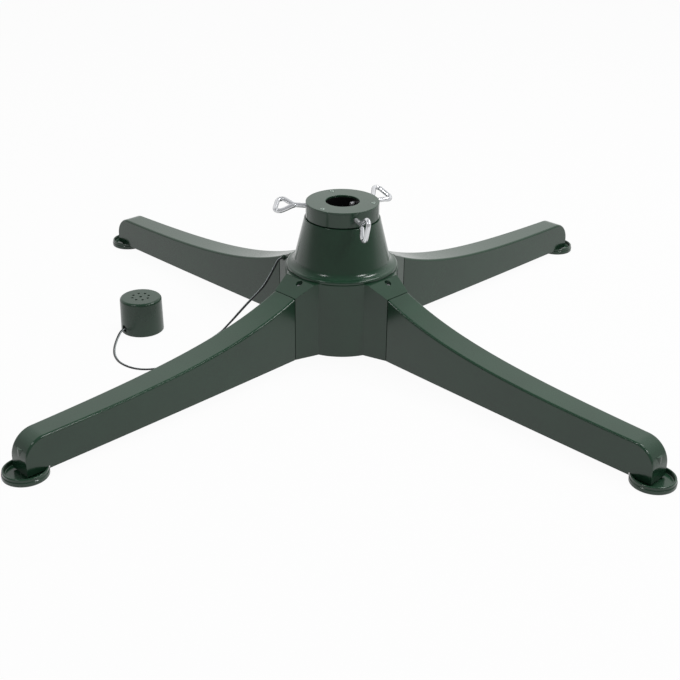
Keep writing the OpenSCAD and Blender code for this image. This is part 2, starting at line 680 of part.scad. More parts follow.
module head_collar() {
    color(green) difference() {
        union() {
            // outer wall with its floor plate
            difference() {
                translate([0, 0, head_under]) cylinder(r = head_r, h = lid_seat - head_under, $fn = 128);
                translate([0, 0, head_under + plate_t])
                    cylinder(r = head_r - head_wall, h = 30, $fn = 128);
            }
            // core round the mouth
            translate([0, 0, head_under])
                cylinder(r = mouth_d / 2 + core_wall, h = lid_seat - head_under, $fn = 96);
            // radial blocks that carry the clamp bolts and hold their nuts
            for (a = BOLT_AZ) rotate(a) translate([mouth_d / 2 + 1, -block_w / 2, head_under])
                cube([head_r - mouth_d / 2 - 2.4, block_w, lid_seat - head_under]);
            for (a = LID_AZ) rotate(a) translate([lid_screw_at, 0, head_under])
                cylinder(r = 3.8, h = lid_seat - head_under, $fn = 32);
            // skirt that turns inside the cover's lip
            ring(skirt_r, skirt_r - 2, head_under - 6, 6 + eps, 128);
            // neck down to the bearing
            translate([0, 0, thrust_z])
                cylinder(r = spindle_r + 3.2, h = head_under - thrust_z + 1, $fn = 96);
            translate([0, 0, thrust_z]) cylinder(r = ring_out - 0.6, h = 3, $fn = 96);
            translate([0, 0, upper_race_z + 0.6]) cylinder(r = ring_in - slip_gap, h = race_t, $fn = 96);
        }
        translate([0, 0, hub_deck])
            cylinder(r = spindle_r + slip_gap, h = spindle_top + slip_gap - hub_deck, $fn = 96);
        translate([0, 0, hub_deck]) cylinder(r = mouth_d / 2, h = head_top - hub_deck, $fn = 96);
        for (a = BOLT_AZ) rotate(a) {
            translate([0, 0, bolt_z]) rotate([0, 90, 0])
                cylinder(r = rod_d / 2 + run_gap, h = head_r + 5, $fn = 32);
            translate([nut_at, -nut_w / 2 - 0.1, bolt_z - nut_w / 2 - 0.9])
                cube([nut_t + 0.2, nut_w + 0.2, 30]);
        }
        for (a = LID_AZ) rotate(a) translate([lid_screw_at, 0, lid_seat - 9])
            cylinder(r = lid_screw[0] + slip_gap, h = 20, $fn = 24);
    }
}

module head_lid() {
    color(green) difference() {
        translate([0, 0, lid_seat]) cylinder(r = head_r, h = lid_t, $fn = 128);
        translate([0, 0, lid_seat - 1]) cylinder(r = mouth_d / 2, h = lid_t + 2, $fn = 96);
        for (a = LID_AZ) rotate(a) {
            translate([lid_screw_at, 0, lid_seat - 1])
                cylinder(r = lid_screw[0] + pass_gap, h = lid_t + 2, $fn = 24);
            translate([lid_screw_at, 0, head_top - 0.8])
                cylinder(r = lid_screw[1] + 0.3, h = 2, $fn = 32);
        }
    }
}

module lid_screws() {
    color(green) for (a = LID_AZ) rotate(a)
        translate([lid_screw_at, 0, head_top - 0.8]) screw(lid_screw, 8);
}

module clamp_nuts() {
    color(zinc) for (a = BOLT_AZ) rotate(a) translate([nut_at + 0.1, 0, bolt_z]) rotate([0, 90, 0])
        difference() {
            cylinder(r = nut_w / 2 / cos(30), h = nut_t, $fn = 6);
            translate([0, 0, -1]) cylinder(r = rod_d / 2 + run_gap, h = nut_t + 2, $fn = 32);
        }
}

// ---------------------------------------------------------------- clamp bolts

// The eye's centre line, a triangle in its own plane: out along one side, across the far end and
// back along the other side to a cut end that lies beside the shank
eye_far = eye_start + eye_len;
near_y = eye_w / 2 - eye_skew;
away_y = -eye_w / 2 - eye_skew;
end_off = 1.022 * rod_d;
end_turn = 30.6;
end_x = eye_start - 1.5;
end_y = -end_off * cos(end_turn);
end_lift = -end_off * sin(end_turn);
near_lean = atan(near_y / eye_len);
away_lean = atan((end_y - away_y) / (eye_far - end_x));
neck_bend = 7;
neck_x = neck_bend * tan(near_lean / 2);
bend_x = eye_far - eye_bend;
near_bend = [bend_x, near_y - eye_bend * tan(45 + near_lean / 2)];
away_bend = [bend_x, away_y + eye_bend * tan(45 + away_lean / 2)];
away_start = away_bend - eye_bend * [sin(away_lean), cos(away_lean)];
function smooth(t) = t * t * (3 - 2 * t);
function flat(p) = [p[0], p[1], 0];
eye_line = concat(
    [[eye_start - neck_x - 5, 0, 0]],
    [for (p = arc([eye_start - neck_x, neck_bend], neck_bend, -90, near_lean - 90, 4)) flat(p)],
    [for (p = arc(near_bend, eye_bend, 90 + near_lean, 0, 6)) flat(p)],
    [for (p = arc(away_bend, eye_bend, 0, -90 - away_lean, 6)) flat(p)],
    [for (i = [1:6]) let (t = i / 6, q = away_start * (1 - t) + [end_x, end_y] * t)
        [q[0], q[1], end_lift * smooth(t)]]);
function along(p, i) = i == 0 ? unit(p[1] - p[0])
    : i == len(p) - 1 ? unit(p[i] - p[i - 1])
    : unit(unit(p[i] - p[i - 1]) + unit(p[i + 1] - p[i]));
rod_sides = 12;
// A ring round the rod, widened so that its flats keep the rod's own thickness
function rod_ring(c, t) = let (side = unit(cross(t, [0, 0, 1])), up = cross(side, t), r = rod_d / 2 * 1.01)
    [for (j = [0:rod_sides - 1]) let (a = 360 * j / rod_sides) c + r * (side * cos(a) + up * sin(a))];

// One bent rod along +X: a round shank with a chamfered tip, then the eye
module eye_bolt() {
    r = rod_d / 2;
    tip_chamfer = 0.8;
    shank_end = eye_start - neck_x - 0.5;
    translate([bolt_tip, 0, 0]) rotate([0, 90, 0]) rotate_extrude($fn = 48) polygon([[0, 0],
        [r - tip_chamfer, 0], [r, tip_chamfer], [r, shank_end - bolt_tip - 1],
        [r - 0.6, shank_end - bolt_tip], [0, shank_end - bolt_tip]]);
    loft([for (i = [0:len(eye_line) - 1]) rod_ring(eye_line[i], along(eye_line, i))]);
}

ROLL_REAR = 66;
ROLL_LEFT = -73.5;
ROLL_FRONT = 10.5;

module clamp_bolt(az, roll) {
    color(zinc) rotate(az) translate([0, 0, bolt_z]) rotate([90 - roll, 0, 0]) eye_bolt();
}

module clamp_bolt_rear() { clamp_bolt(BOLT_AZ[0], ROLL_REAR); }
module clamp_bolt_left() { clamp_bolt(BOLT_AZ[1], ROLL_LEFT); }
module clamp_bolt_front() { clamp_bolt(BOLT_AZ[2], ROLL_FRONT); }

// ---------------------------------------------------------------- spindle

module spindle_tube() {
    color(steel) ring(spindle_r, socket_d / 2, gear_z, spindle_top - gear_z);
}

cap_screw_at = spindle_r + 3.4;

// Disc under the tube and its gear; its top is the floor of the socket
module spindle_cap() {
    color(dark) difference() {
        translate([0, 0, gear_z - cap_t]) cylinder(r = cap_screw_at + 4, h = cap_t, $fn = 96);
        for (a = [0, 120, 240]) rotate(a) translate([cap_screw_at, 0, gear_z - cap_t - 1])
            cylinder(r = small_screw[0] + pass_gap, h = cap_t + 2, $fn = 24);
    }
}

module spindle_cap_screws() {
    color(steel) for (a = [0, 120, 240]) rotate(a) translate([cap_screw_at, 0, gear_z - cap_t])
        mirror([0, 0, 1]) screw(small_screw, 10);
}

// Involute spur gear outline, thinned by half of the play on each flank
function involute(rb, t) = [rb * (cos(t) + t * PI / 180 * sin(t)), rb * (sin(t) - t * PI / 180 * cos(t))];
function spin(p, a) = [p[0] * cos(a) - p[1] * sin(a), p[0] * sin(a) + p[1] * cos(a)];
pressure = 20;
flank_steps = 4;
module gear_outline(teeth, addendum) {
    rp = gear_module * teeth / 2;
    rb = rp * cos(pressure);
    ra = rp + addendum * gear_module;
    rr = rp - 1.25 * gear_module;
    t_max = sqrt(pow(ra / rb, 2) - 1) * 180 / PI;
    t_min = rr > rb ? sqrt(pow(rr / rb, 2) - 1) * 180 / PI : 0;
    pitch_lead = tan(pressure) * 180 / PI - pressure;
    half = 90 / teeth - gear_play / 4 / rp * 180 / PI + pitch_lead;
    flank = [for (i = [0:flank_steps]) involute(rb, t_min + (t_max - t_min) * i / flank_steps)];
    root = rr < rb ? [[rr, 0]] : [];
    one = concat([for (p = root) spin(p, -half)], [for (p = flank) spin(p, -half)],
        [for (i = [flank_steps:-1:0]) spin([flank[i][0], -flank[i][1]], half)],
        [for (p = root) spin([p[0], -p[1]], half)]);
    polygon([for (k = [0:teeth - 1], p = one) spin(p, k * 360 / teeth)]);
}

module spindle_gear() {
    color(nylon) translate([0, 0, gear_z]) difference() {
        linear_extrude(gear_face) rotate(180 / gear_teeth) gear_outline(gear_teeth, 0.9);
        translate([0, 0, -1]) cylinder(r = spindle_r + slip_gap, h = gear_face + 2, $fn = 96);
        for (a = [0, 120, 240]) rotate(a) translate([cap_screw_at, 0, -1])
            cylinder(r = small_screw[0] + slip_gap, h = 8, $fn = 24);
        // recessed web between the rim and the boss
        translate([0, 0, gear_face - 1.6]) ring(gear_module * gear_teeth / 2 - 4, spindle_r + 4.4, 0, 4);
    }
}

// ---------------------------------------------------------------- motor

shaft_r = 2.5;
shaft_z = can_top - 5;

module drive_pinion() {
    color(nylon) translate([motor_at, 0, gear_z]) difference() {
        union() {
            // one tooth points at the spindle gear, into the gap that the gear has there
            linear_extrude(gear_face) rotate(180) gear_outline(pinion_teeth, 0.9);
            translate([0, 0, -3]) cylinder(r = 5, h = 3 + eps, $fn = 48);
        }
        translate([0, 0, -4]) cylinder(r = shaft_r + slip_gap, h = gear_face + 6, $fn = 32);
    }
}

module motor_shaft() {
    color(zinc) translate([motor_at, 0, shaft_z]) cylinder(r = shaft_r, h = gear_top - shaft_z, $fn = 32);
}

module drive_motor() {
    boss_r = 5.5;
    boss_h = 3;
    color(steel) difference() {
        union() {
            translate([can_at, 0, can_z]) cylinder(r = motor_d / 2, h = motor_h, $fn = 96);
            translate([motor_at, 0, can_z]) cylinder(r = boss_r, h = motor_h + boss_h, $fn = 48);
            // mounting lugs across the can
            translate([can_at - 4, -lug_at, can_top - lug_t]) cube([8, 2 * lug_at, lug_t]);
            for (s = [1, -1]) translate([can_at, s * lug_at, can_top - lug_t])
                cylinder(r = 4, h = lug_t, $fn = 32);
        }
        translate([motor_at, 0, shaft_z - 0.2]) cylinder(r = shaft_r + run_gap, h = 20, $fn = 32);
        for (s = [1, -1]) translate([can_at, s * lug_at, can_top - 5])
            cylinder(r = small_screw[0] + pass_gap, h = 10, $fn = 24);
    }
}

module motor_screws() {
    color(steel) for (s = [1, -1]) translate([can_at, s * lug_at, can_top]) screw(small_screw, 12);
}

// ---------------------------------------------------------------- power inlet and sound board

module power_inlet() {
    flange_t = 1.6;
    body_l = 15;
    color(dark) rotate(inlet_az) translate([hub_r, 0, inlet_z]) rotate([0, 90, 0]) difference() {
        union() {
            translate([0, 0, 0.1]) cylinder(r = inlet_r + 2, h = flange_t, $fn = 48);
            translate([0, 0, -body_l]) cylinder(r = inlet_r, h = body_l + 0.2, $fn = 48);
        }
        difference() {
            translate([0, 0, -body_l + 3]) cylinder(r = 2.8, h = body_l, $fn = 32);
            translate([0, 0, -body_l]) cylinder(r = 1, h = body_l, $fn = 24);
        }
    }
}

module inlet_nut() {
    color(zinc) rotate(inlet_az) translate([hub_r - hub_wall - 2.9, 0, inlet_z]) rotate([0, 90, 0])
        difference() {
            cylinder(r = inlet_r + 2.6, h = 2.4, $fn = 6);
            translate([0, 0, -1]) cylinder(r = inlet_r + slip_gap, h = 5, $fn = 48);
        }
}

module sound_board() {
    color(board_green) translate([board_c[0], board_c[1], board_z]) {
        difference() {
            translate([-board_size[0] / 2, -board_size[1] / 2, 0]) cube(board_size);
            for (p = board_holes) translate([p[0], p[1], -1])
                cylinder(r = tiny_screw[0] + 0.2, h = 5, $fn = 24);
        }
        translate([-5, -7, board_size[2] - eps]) cube([8, 12, 2.4]);
        translate([-6, 12, board_size[2] - eps]) cylinder(r = 3, h = 8, $fn = 32);
        translate([2, -16, board_size[2] - eps]) cube([8, 6, 6]);
    }
}

module board_screws() {
    color(steel) for (p = board_holes)
        translate([board_c[0] + p[0], board_c[1] + p[1], board_z + board_size[2]]) screw(tiny_screw, 8);
}

// ---------------------------------------------------------------- cord and its two bushes

pod_exit = lead_route[len(lead_route) - 1];
pod_exit_az = atan2(pod_exit[1] - pod_c[1], pod_exit[0] - pod_c[0]);
pod_exit_r = norm([pod_exit[0] - pod_c[0], pod_exit[1] - pod_c[1]]);

// A point half-way between two route points, on the smooth curve through their neighbours
function half_way(p, i) = (9 * (p[i] + p[i + 1]) - p[max(i - 1, 0)] - p[min(i + 2, len(p) - 1)]) / 16;
cord_line = concat(
    [for (i = [0:len(lead_route) - 2]) each [lead_route[i], half_way(lead_route, i)]],
    [pod_exit]);

function unit(v) = v / norm(v);
// Direction of the line at one of its points; its two ends point straight along their bushes
function heading(p, i) = i == 0 ? [cos(cord_exit_az), sin(cord_exit_az), 0]
    : i == len(p) - 1 ? unit([pod_c[0] - pod_exit[0], pod_c[1] - pod_exit[1], 0])
    : unit(p[i + 1] - p[i - 1]);
// Eight points round the flat lead, its wide way level
function lead_ring(c, t) = let (side = unit(cross(t, [0, 0, 1])), up = cross(side, t),
        w = cord_w / 2, h = cord_t / 2, k = h * 0.42) [for (q = [
    [w, -k], [w, k], [w - h + k, h], [h - k - w, h], [-w, k], [-w, -k], [h - k - w, -h], [w - h + k, -h]])
    c + side * q[0] + up * q[1]];

module sound_cord() {
    color(dark) loft([for (i = [0:len(cord_line) - 1]) lead_ring(cord_line[i], heading(cord_line, i))]);
}

module cord_grommet() {
    nose_l = cord_bush_l - 0.1;
    color(dark) translate(cord_exit) rotate([0, -90, cord_exit_az]) {
        cylinder(r1 = 2.4, r2 = 3.4, h = nose_l, $fn = 32);
        translate([0, 0, nose_l - 0.2])
            cylinder(r = grommet_hole_r - slip_gap, h = hub_wall + 2, $fn = 32);
    }
}

slot_w = 8;
slot_z = 3.4;
slot_top = 11;

// Arched cord slot, drawn as an upright outline
module slot_outline(grow) {
    translate([-slot_w / 2 - grow, slot_z - grow])
        square([slot_w + 2 * grow, slot_top - slot_w / 2 - slot_z + grow]);
    translate([0, slot_top - slot_w / 2]) circle(r = slot_w / 2 + grow, $fn = 32);
}

module pod_grommet() {
    color(dark) translate([pod_c[0], pod_c[1], 0]) rotate(pod_exit_az)
        translate([pod_exit_r - 2.4, 0, 0]) rotate([90, 0, 90]) linear_extrude(2.4) slot_outline(-0.1);
}

// ---------------------------------------------------------------- sound pod

pod_r = pod_d / 2;
pod_draft = 0.6;
pod_edge = 3;
pod_base_t = 2.2;
POD_SCREW_AZ = [120, 300];
pod_post_at = pod_r - pod_wall - 2.8;
pod_inner_top = pod_h - pod_wall;

module pod_shell() {
    color(green) translate([pod_c[0], pod_c[1], 0]) difference() {
        rotate_extrude($fn = 128) polygon(concat(
            [[0, 0], [pod_r - 0.4, 0], [pod_r, 0.4]],
            arc([pod_r - pod_draft - pod_edge, pod_h - pod_edge], pod_edge, 0, 90, 8),
            [[0, pod_h]]));
        difference() {
            translate([0, 0, -eps]) rotate_extrude($fn = 128) polygon(concat(
                [[0, 0], [pod_r - pod_wall, 0]],
                arc([pod_r - pod_draft - pod_edge, pod_h - pod_edge], pod_edge - pod_wall, 0, 90, 4),
                [[0, pod_inner_top]]));
            // posts for the base screws, and the ring that seats the speaker
            for (a = POD_SCREW_AZ) rotate(a) translate([pod_post_at, 0, pod_base_t + 0.8])
                cylinder(r = 3, h = speaker_top - 4 - pod_base_t, $fn = 32);
            ring(speaker_r + 2, speaker_r + 0.3, pod_inner_top - 4, 10);
        }
        for (a = POD_SCREW_AZ) rotate(a) translate([pod_post_at, 0, 0])
            cylinder(r = tiny_screw[0] + slip_gap, h = 12, $fn = 24);
        for (i = [0:7]) rotate(i * 45 + 22.5) translate([sound_ring_r, 0, pod_h - pod_wall - 1])
            cylinder(r = sound_hole_d / 2, h = pod_wall + 2, $fn = 24);
        translate([0, 0, pod_h - pod_wall - 1]) cylinder(r = sound_hole_d / 2, h = pod_wall + 2, $fn = 24);
        rotate(pod_exit_az) translate([pod_exit_r - 3, 0, 0]) rotate([90, 0, 90])
            linear_extrude(8) slot_outline(0);
    }
}

module pod_base() {
    color(green) translate([pod_c[0], pod_c[1], 0]) difference() {
        translate([0, 0, 0.8]) cylinder(r = pod_r - pod_wall - 0.2, h = pod_base_t, $fn = 128);
        for (a = POD_SCREW_AZ) rotate(a) {
            translate([pod_post_at, 0, 0]) cylinder(r = tiny_screw[0] + 0.2, h = 6, $fn = 24);
            translate([pod_post_at, 0, 0]) cylinder(r = tiny_screw[1] + 0.3, h = 0.8 + 1.3, $fn = 24);
        }
    }
}

module pod_screws() {
    color(steel) translate([pod_c[0], pod_c[1], 0]) for (a = POD_SCREW_AZ) rotate(a)
        translate([pod_post_at, 0, 0.8 + 1.3]) mirror([0, 0, 1]) screw(tiny_screw, 8);
}

speaker_r = 17.2;
speaker_top = pod_inner_top - 0.2;
cone_rim = 14.5;
cone_depth = 5;

module speaker_frame() {
    magnet_r = 10;
    basket_r = 12.5;
    hollow_z = speaker_top - cone_depth - 1.5;
    color(dark) translate([pod_c[0], pod_c[1], 0]) difference() {
        rotate_extrude($fn = 96) polygon([
            [0, speaker_top - 13], [magnet_r, speaker_top - 13], [magnet_r, speaker_top - 8],
            [basket_r, speaker_top - 8], [speaker_r - 1.6, speaker_top - 2],
            [speaker_r, speaker_top - 2], [speaker_r, speaker_top], [0, speaker_top]]);
        rotate_extrude($fn = 96) polygon([
            [0, hollow_z], [5, hollow_z], [cone_rim + 0.6, speaker_top - 1.2],
            [cone_rim + 0.6, speaker_top + 1], [0, speaker_top + 1]]);
    }
}

module speaker_cone() {
    color(nylon) translate([pod_c[0], pod_c[1], 0]) rotate_extrude($fn = 96) polygon([
        [0, speaker_top - cone_depth - 1.4], [4.6, speaker_top - cone_depth - 1.4],
        [cone_rim, speaker_top - 1.3], [cone_rim, speaker_top - 0.6], [cone_rim - 0.8, speaker_top - 0.6],
        [4.4, speaker_top - cone_depth - 0.6], [2.2, speaker_top - cone_depth + 0.6],
        [0, speaker_top - cone_depth + 1]]);
}

// ---------------------------------------------------------------- assembly

hub_shell();
bottom_cover();
bottom_cover_screws();
leg_front_right();
leg_rear_right();
leg_rear_left();
leg_front_left();
leg_screws();
foot_front_right();
foot_rear_right();
foot_rear_left();
foot_front_left();
foot_screws();
cone_cover();
cone_cover_screws();
bearing_housing();
bearing_housing_screws();
lower_race();
upper_race();
ball_cage();
bearing_balls();
lower_bush();
head_collar();
head_lid();
lid_screws();
clamp_nuts();
clamp_bolt_rear();
clamp_bolt_left();
clamp_bolt_front();
spindle_tube();
spindle_cap();
spindle_cap_screws();
spindle_gear();
drive_pinion();
motor_shaft();
drive_motor();
motor_screws();
power_inlet();
inlet_nut();
sound_board();
board_screws();
cord_grommet();
sound_cord();
pod_grommet();
pod_shell();
pod_base();
pod_screws();
speaker_frame();
speaker_cone();
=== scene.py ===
"""Looks of the rotating tree stand: materials, visual pieces, floor, light and camera.

The pieces that the photo shows closely (lead, eye bolts, legs, dishes, cover, lid and
pod) get finer meshes here, in the CAD model's own sizes and places. Every other piece
is the CAD model's own mesh with a material on it.
"""

import json
import math

import bmesh
import bpy
from mathutils import Matrix, Vector


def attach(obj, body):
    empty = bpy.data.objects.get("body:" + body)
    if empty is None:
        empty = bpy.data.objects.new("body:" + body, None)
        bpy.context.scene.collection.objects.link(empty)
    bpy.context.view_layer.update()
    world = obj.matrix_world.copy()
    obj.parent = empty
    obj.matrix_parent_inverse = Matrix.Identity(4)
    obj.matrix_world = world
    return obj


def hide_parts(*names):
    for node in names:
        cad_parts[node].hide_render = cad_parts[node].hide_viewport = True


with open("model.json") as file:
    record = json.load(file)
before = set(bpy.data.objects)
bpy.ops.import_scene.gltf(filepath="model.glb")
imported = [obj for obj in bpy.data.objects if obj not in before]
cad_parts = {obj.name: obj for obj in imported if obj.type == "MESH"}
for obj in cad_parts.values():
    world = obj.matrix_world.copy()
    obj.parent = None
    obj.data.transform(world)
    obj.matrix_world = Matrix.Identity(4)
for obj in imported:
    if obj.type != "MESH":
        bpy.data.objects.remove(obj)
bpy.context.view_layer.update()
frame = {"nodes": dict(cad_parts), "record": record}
NODES = frame["nodes"]


# ---------------------------------------------------------------- node helpers

def feed(tree, socket, value):
    """Links a socket to another node's output, or sets it to a plain value."""
    if isinstance(value, bpy.types.NodeSocket):
        tree.links.new(value, socket)
    else:
        socket.default_value = value


def add(tree, kind, **values):
    """A new node with the given sockets or properties set."""
    node = tree.nodes.new(kind)
    for key, value in values.items():
        if key in node.inputs:
            node.inputs[key].default_value = value
        else:
            setattr(node, key, value)
    return node


def noise(tree, coords, scale, detail, rough):
    node = add(tree, "ShaderNodeTexNoise", Scale=scale, Detail=detail, Roughness=rough)
    tree.links.new(coords, node.inputs["Vector"])
    return node.outputs["Fac"]


def ramp(tree, source, stops):
    """A colour ramp over the source, with stops of place and colour."""
    node = tree.nodes.new("ShaderNodeValToRGB")
    elements = node.color_ramp.elements
    while len(elements) < len(stops):
        elements.new(0.5)
    for element, (place, colour) in zip(elements, stops):
        element.position = place
        element.color = (*colour, 1.0)
    tree.links.new(source, node.inputs["Fac"])
    return node.outputs["Color"]


def mapped(tree, source, start=0.0, end=1.0, low=0.0, high=1.0):
    """Takes the source's values from start to end onto low to high."""
    node = tree.nodes.new("ShaderNodeMapRange")
    for key, value in (("From Min", start), ("From Max", end), ("To Min", low), ("To Max", high)):
        node.inputs[key].default_value = value
    tree.links.new(source, node.inputs["Value"])
    return node.outputs["Result"]


def mixed(tree, factor, a, b):
    """A colour that goes from a to b with the factor."""
    node = tree.nodes.new("ShaderNodeMix")
    node.data_type = "RGBA"
    for key, value in (("Factor", factor), ("A", a), ("B", b)):
        feed(tree, node.inputs[key], value)
    return node.outputs["Result"]


def computed(tree, operation, a, b):
    node = add(tree, "ShaderNodeMath", operation=operation)
    feed(tree, node.inputs[0], a)
    feed(tree, node.inputs[1], b)
    return node.outputs[0]


def vector_step(tree, operation, source, other=None):
    node = add(tree, "ShaderNodeVectorMath", operation=operation)
    tree.links.new(source, node.inputs[0])
    if other is not None:
        node.inputs[1].default_value = other
    return node


def bump(tree, bsdf, height, strength, distance, normal=None):
    node = add(tree, "ShaderNodeBump", Strength=strength, Distance=distance)
    if normal is not None:
        tree.links.new(normal, node.inputs["Normal"])
    tree.links.new(height, node.inputs["Height"])
    tree.links.new(node.outputs["Normal"], bsdf.inputs["Normal"])


def object_coords(tree):
    return tree.nodes.new("ShaderNodeTexCoord").outputs["Object"]


# ---------------------------------------------------------------- materials

CLOUD_LOW, CLOUD_HIGH = 0.3, 0.7    # the noise values where a cloudy colour ends


def new_material(name):
    mat = bpy.data.materials.new(name)
    mat.use_nodes = True
    tree = mat.node_tree
    return mat, tree, tree.nodes["Principled BSDF"]


def moulded(name, colour, rough, variation=0.10, grain=1400.0, depth=0.00004):
    """Moulded plastic: faint cloudiness from the melt, a fine grain and rounded edges."""
    melt_scale, gloss_change, relief, edge_radius = 22.0, 0.04, 0.1, 0.0005
    mat, tree, bsdf = new_material(name)
    coords = object_coords(tree)
    cloud = noise(tree, coords, melt_scale, 3.0, 0.55)
    low = tuple(c * (1 - variation) for c in colour)
    high = tuple(c * (1 + variation) for c in colour)
    feed(tree, bsdf.inputs["Base Color"],
         ramp(tree, cloud, [(CLOUD_LOW, low), (CLOUD_HIGH, high)]))
    feed(tree, bsdf.inputs["Roughness"],
         mapped(tree, cloud, low=rough - gloss_change, high=rough + gloss_change))
    edge = tree.nodes.new("ShaderNodeBevel")
    edge.samples = 4
    edge.inputs["Radius"].default_value = edge_radius
    fine = noise(tree, coords, grain, 2.0, 0.6)
    bump(tree, bsdf, fine, relief, depth, edge.outputs["Normal"])
    return mat


def metal(name, colour, rough, scratch=True, metallic=1.0, edge=1.0):
    """Metal with a cloudy polish; edge is the tint of its reflection at a grazing angle."""
    polish_scale, dull, scratch_scale, scratch_depth = 240.0, 0.86, 900.0, 0.00003
    mat, tree, bsdf = new_material(name)
    bsdf.inputs["Metallic"].default_value = metallic
    bsdf.inputs["Specular Tint"].default_value = (edge, edge, edge, 1)
    coords = object_coords(tree)
    cloud = noise(tree, coords, polish_scale, 4.0, 0.6)
    low = tuple(c * dull for c in colour)
    feed(tree, bsdf.inputs["Base Color"],
         ramp(tree, cloud, [(CLOUD_LOW, low), (CLOUD_HIGH, colour)]))
    feed(tree, bsdf.inputs["Roughness"],
         mapped(tree, cloud, low=rough - 0.06, high=rough + 0.08))
    if scratch:
        bump(tree, bsdf, noise(tree, coords, scratch_scale, 3.0, 0.6), 0.15, scratch_depth)
    return mat


def linear(r, g, b):
    """Linear colour from 0-255 display values."""
    out = []
    for c in (r, g, b):
        c /= 255.0
        out.append(c / 12.92 if c <= 0.04045 else ((c + 0.055) / 1.055) ** 2.4)
    return tuple(out)


def painted_bore_shade(mat, radius):
    """Paints shade into the colour: black inside an upright bore round the object's axis, where
    the bore lies in shadow.
    """
    # painted shade, nearly black, for the inside of the bore
    black, fade = (0.006, 0.006, 0.006, 1), 0.0003
    tree = mat.node_tree
    base = tree.nodes["Principled BSDF"].inputs["Base Color"]
    flat = vector_step(tree, "MULTIPLY", object_coords(tree), (1, 1, 0))
    far = vector_step(tree, "LENGTH", flat.outputs[0])
    outside = mapped(tree, far.outputs["Value"], radius, radius + fade)
    tree.links.new(mixed(tree, outside, black, base.links[0].from_socket), base)
    return mat


COLLAR_BORE = 0.0195    # painted shade: the head's colour is black inside this radius, in metres

GREEN = moulded("moulded_green", linear(29, 56, 40), 0.18)
# the collar's green, with painted shade in its bore
COLLAR = painted_bore_shade(moulded("collar_green_painted_bore_shade", linear(29, 56, 40), 0.18), COLLAR_BORE)
POD_GREEN = moulded("pod_green", linear(26, 52, 37), 0.28)
GROMMET = moulded("grommet_rubber", linear(29, 50, 38), 0.3)
BLACK = moulded("black_plastic", linear(26, 27, 27), 0.5)
NYLON = moulded("nylon", linear(222, 219, 205), 0.42, variation=0.04)
STEEL = metal("turned_steel", (0.62, 0.62, 0.64), 0.30, metallic=0.6)
ZINC = metal("bright_zinc", (0.82, 0.83, 0.85), 0.10, scratch=False, metallic=0.7, edge=0.15)
GREEN_SCREW = metal("worn_screw", linear(150, 165, 156), 0.25, metallic=0.5)
BOARD = moulded("circuit_board", linear(30, 92, 52), 0.35, variation=0.2, grain=300.0)
PAPER = moulded("cone_paper", linear(52, 49, 46), 0.9, variation=0.2, grain=500.0,
                depth=0.0002)
SHEATH = moulded("cord_sheath", linear(15, 18, 18), 0.3)
# a light grey core, partly a painted highlight along the lead
GREY_CORE_AND_PAINTED_HIGHLIGHT = moulded("cord_grey_core_and_painted_highlight", linear(150, 158, 158), 0.3)

SLOT_MATERIAL = {
    "green_plastic": GREEN, "black_plastic": BLACK, "steel": STEEL, "bright_zinc": ZINC,
    "nylon": NYLON, "green_screw": GREEN_SCREW, "motor_can": STEEL, "circuit_board": BOARD,
    "cord_sheath": SHEATH, "paper": PAPER,
}
# pieces that look other than their slot in the photo
NODE_MATERIAL = {"head_collar": COLLAR, "spindle_tube": BLACK, "cord_grommet": GROMMET}
for part in frame["record"]["subparts"]:
    node_name = part["node"]
    materials = NODES[node_name].data.materials
    materials.clear()
    materials.append(NODE_MATERIAL.get(node_name, SLOT_MATERIAL[part["material_slot"]]))


# ---------------------------------------------------------------- mesh helpers, in millimetres

def mesh_object(name, build, material, smooth=True):
    bm = bmesh.new()
    build(bm)
    bmesh.ops.recalc_face_normals(bm, faces=bm.faces[:])
    data = bpy.data.meshes.new(name)
    bm.to_mesh(data)
    bm.free()
    obj = bpy.data.objects.new(name, data)
    bpy.context.scene.collection.objects.link(obj)
    if smooth:
        data.shade_smooth()
    data.materials.append(material)
    return obj


def skin(bm, rings):
    """Skins equal closed rings of points, in metres, with quads and a cap at each end."""
    rows = [[bm.verts.new(p) for p in ring] for ring in rings]
    n = len(rows[0])
    for r0, r1 in zip(rows, rows[1:]):
        for j in range(n):
            k = (j + 1) % n
            bm.faces.new((r0[j], r0[k], r1[k], r1[j]))
    bm.faces.new(list(reversed(rows[0])))
    bm.faces.new(rows[-1])


def arc(centre, radius, start, end, steps):
    """Points of an arc, angles in degrees."""
    out = []
    for i in range(steps + 1):
        a = math.radians(start + (end - start) * i / steps)
        out.append((centre[0] + radius * math.cos(a), centre[1] + radius * math.sin(a)))
    return out


def corner(before, at, after, radius, steps=5):
    """A rounded corner of an outline, as points."""
    at = Vector(at)
    u = (Vector(before) - at).normalized()
    v = (Vector(after) - at).normalized()
    half = math.acos(max(-1.0, min(1.0, u.dot(v)))) / 2
    centre = at + (u + v).normalized() * (radius / math.sin(half))
    p = at + u * (radius / math.tan(half)) - centre
    q = at + v * (radius / math.tan(half)) - centre
    start = math.atan2(p.y, p.x)
    turn = (math.atan2(q.y, q.x) - start + math.pi) % (2 * math.pi) - math.pi
    return arc(centre, radius, math.degrees(start), math.degrees(start + turn), steps)


def revolve(bm, profile, centre=(0.0, 0.0), steps=160):
    """Turns a closed outline of radius and height round an upright axis."""
    rows = []
    for k in range(steps):
        a = 2 * math.pi * k / steps
        rows.append([bm.verts.new(((centre[0] + r * math.cos(a)) / 1000,
                                   (centre[1] + r * math.sin(a)) / 1000, z / 1000))
                     for r, z in profile])
    for k in range(steps):
        r0, r1 = rows[k], rows[(k + 1) % steps]
        for j in range(len(profile)):
            i = (j + 1) % len(profile)
            bm.faces.new((r0[j], r1[j], r1[i], r0[i]))


def prism(bm, outline, low, high):
    """A closed upright prism over a flat outline."""
    skin(bm, [[Vector((x, y, z)) / 1000 for x, y in outline] for z in (low, high)])


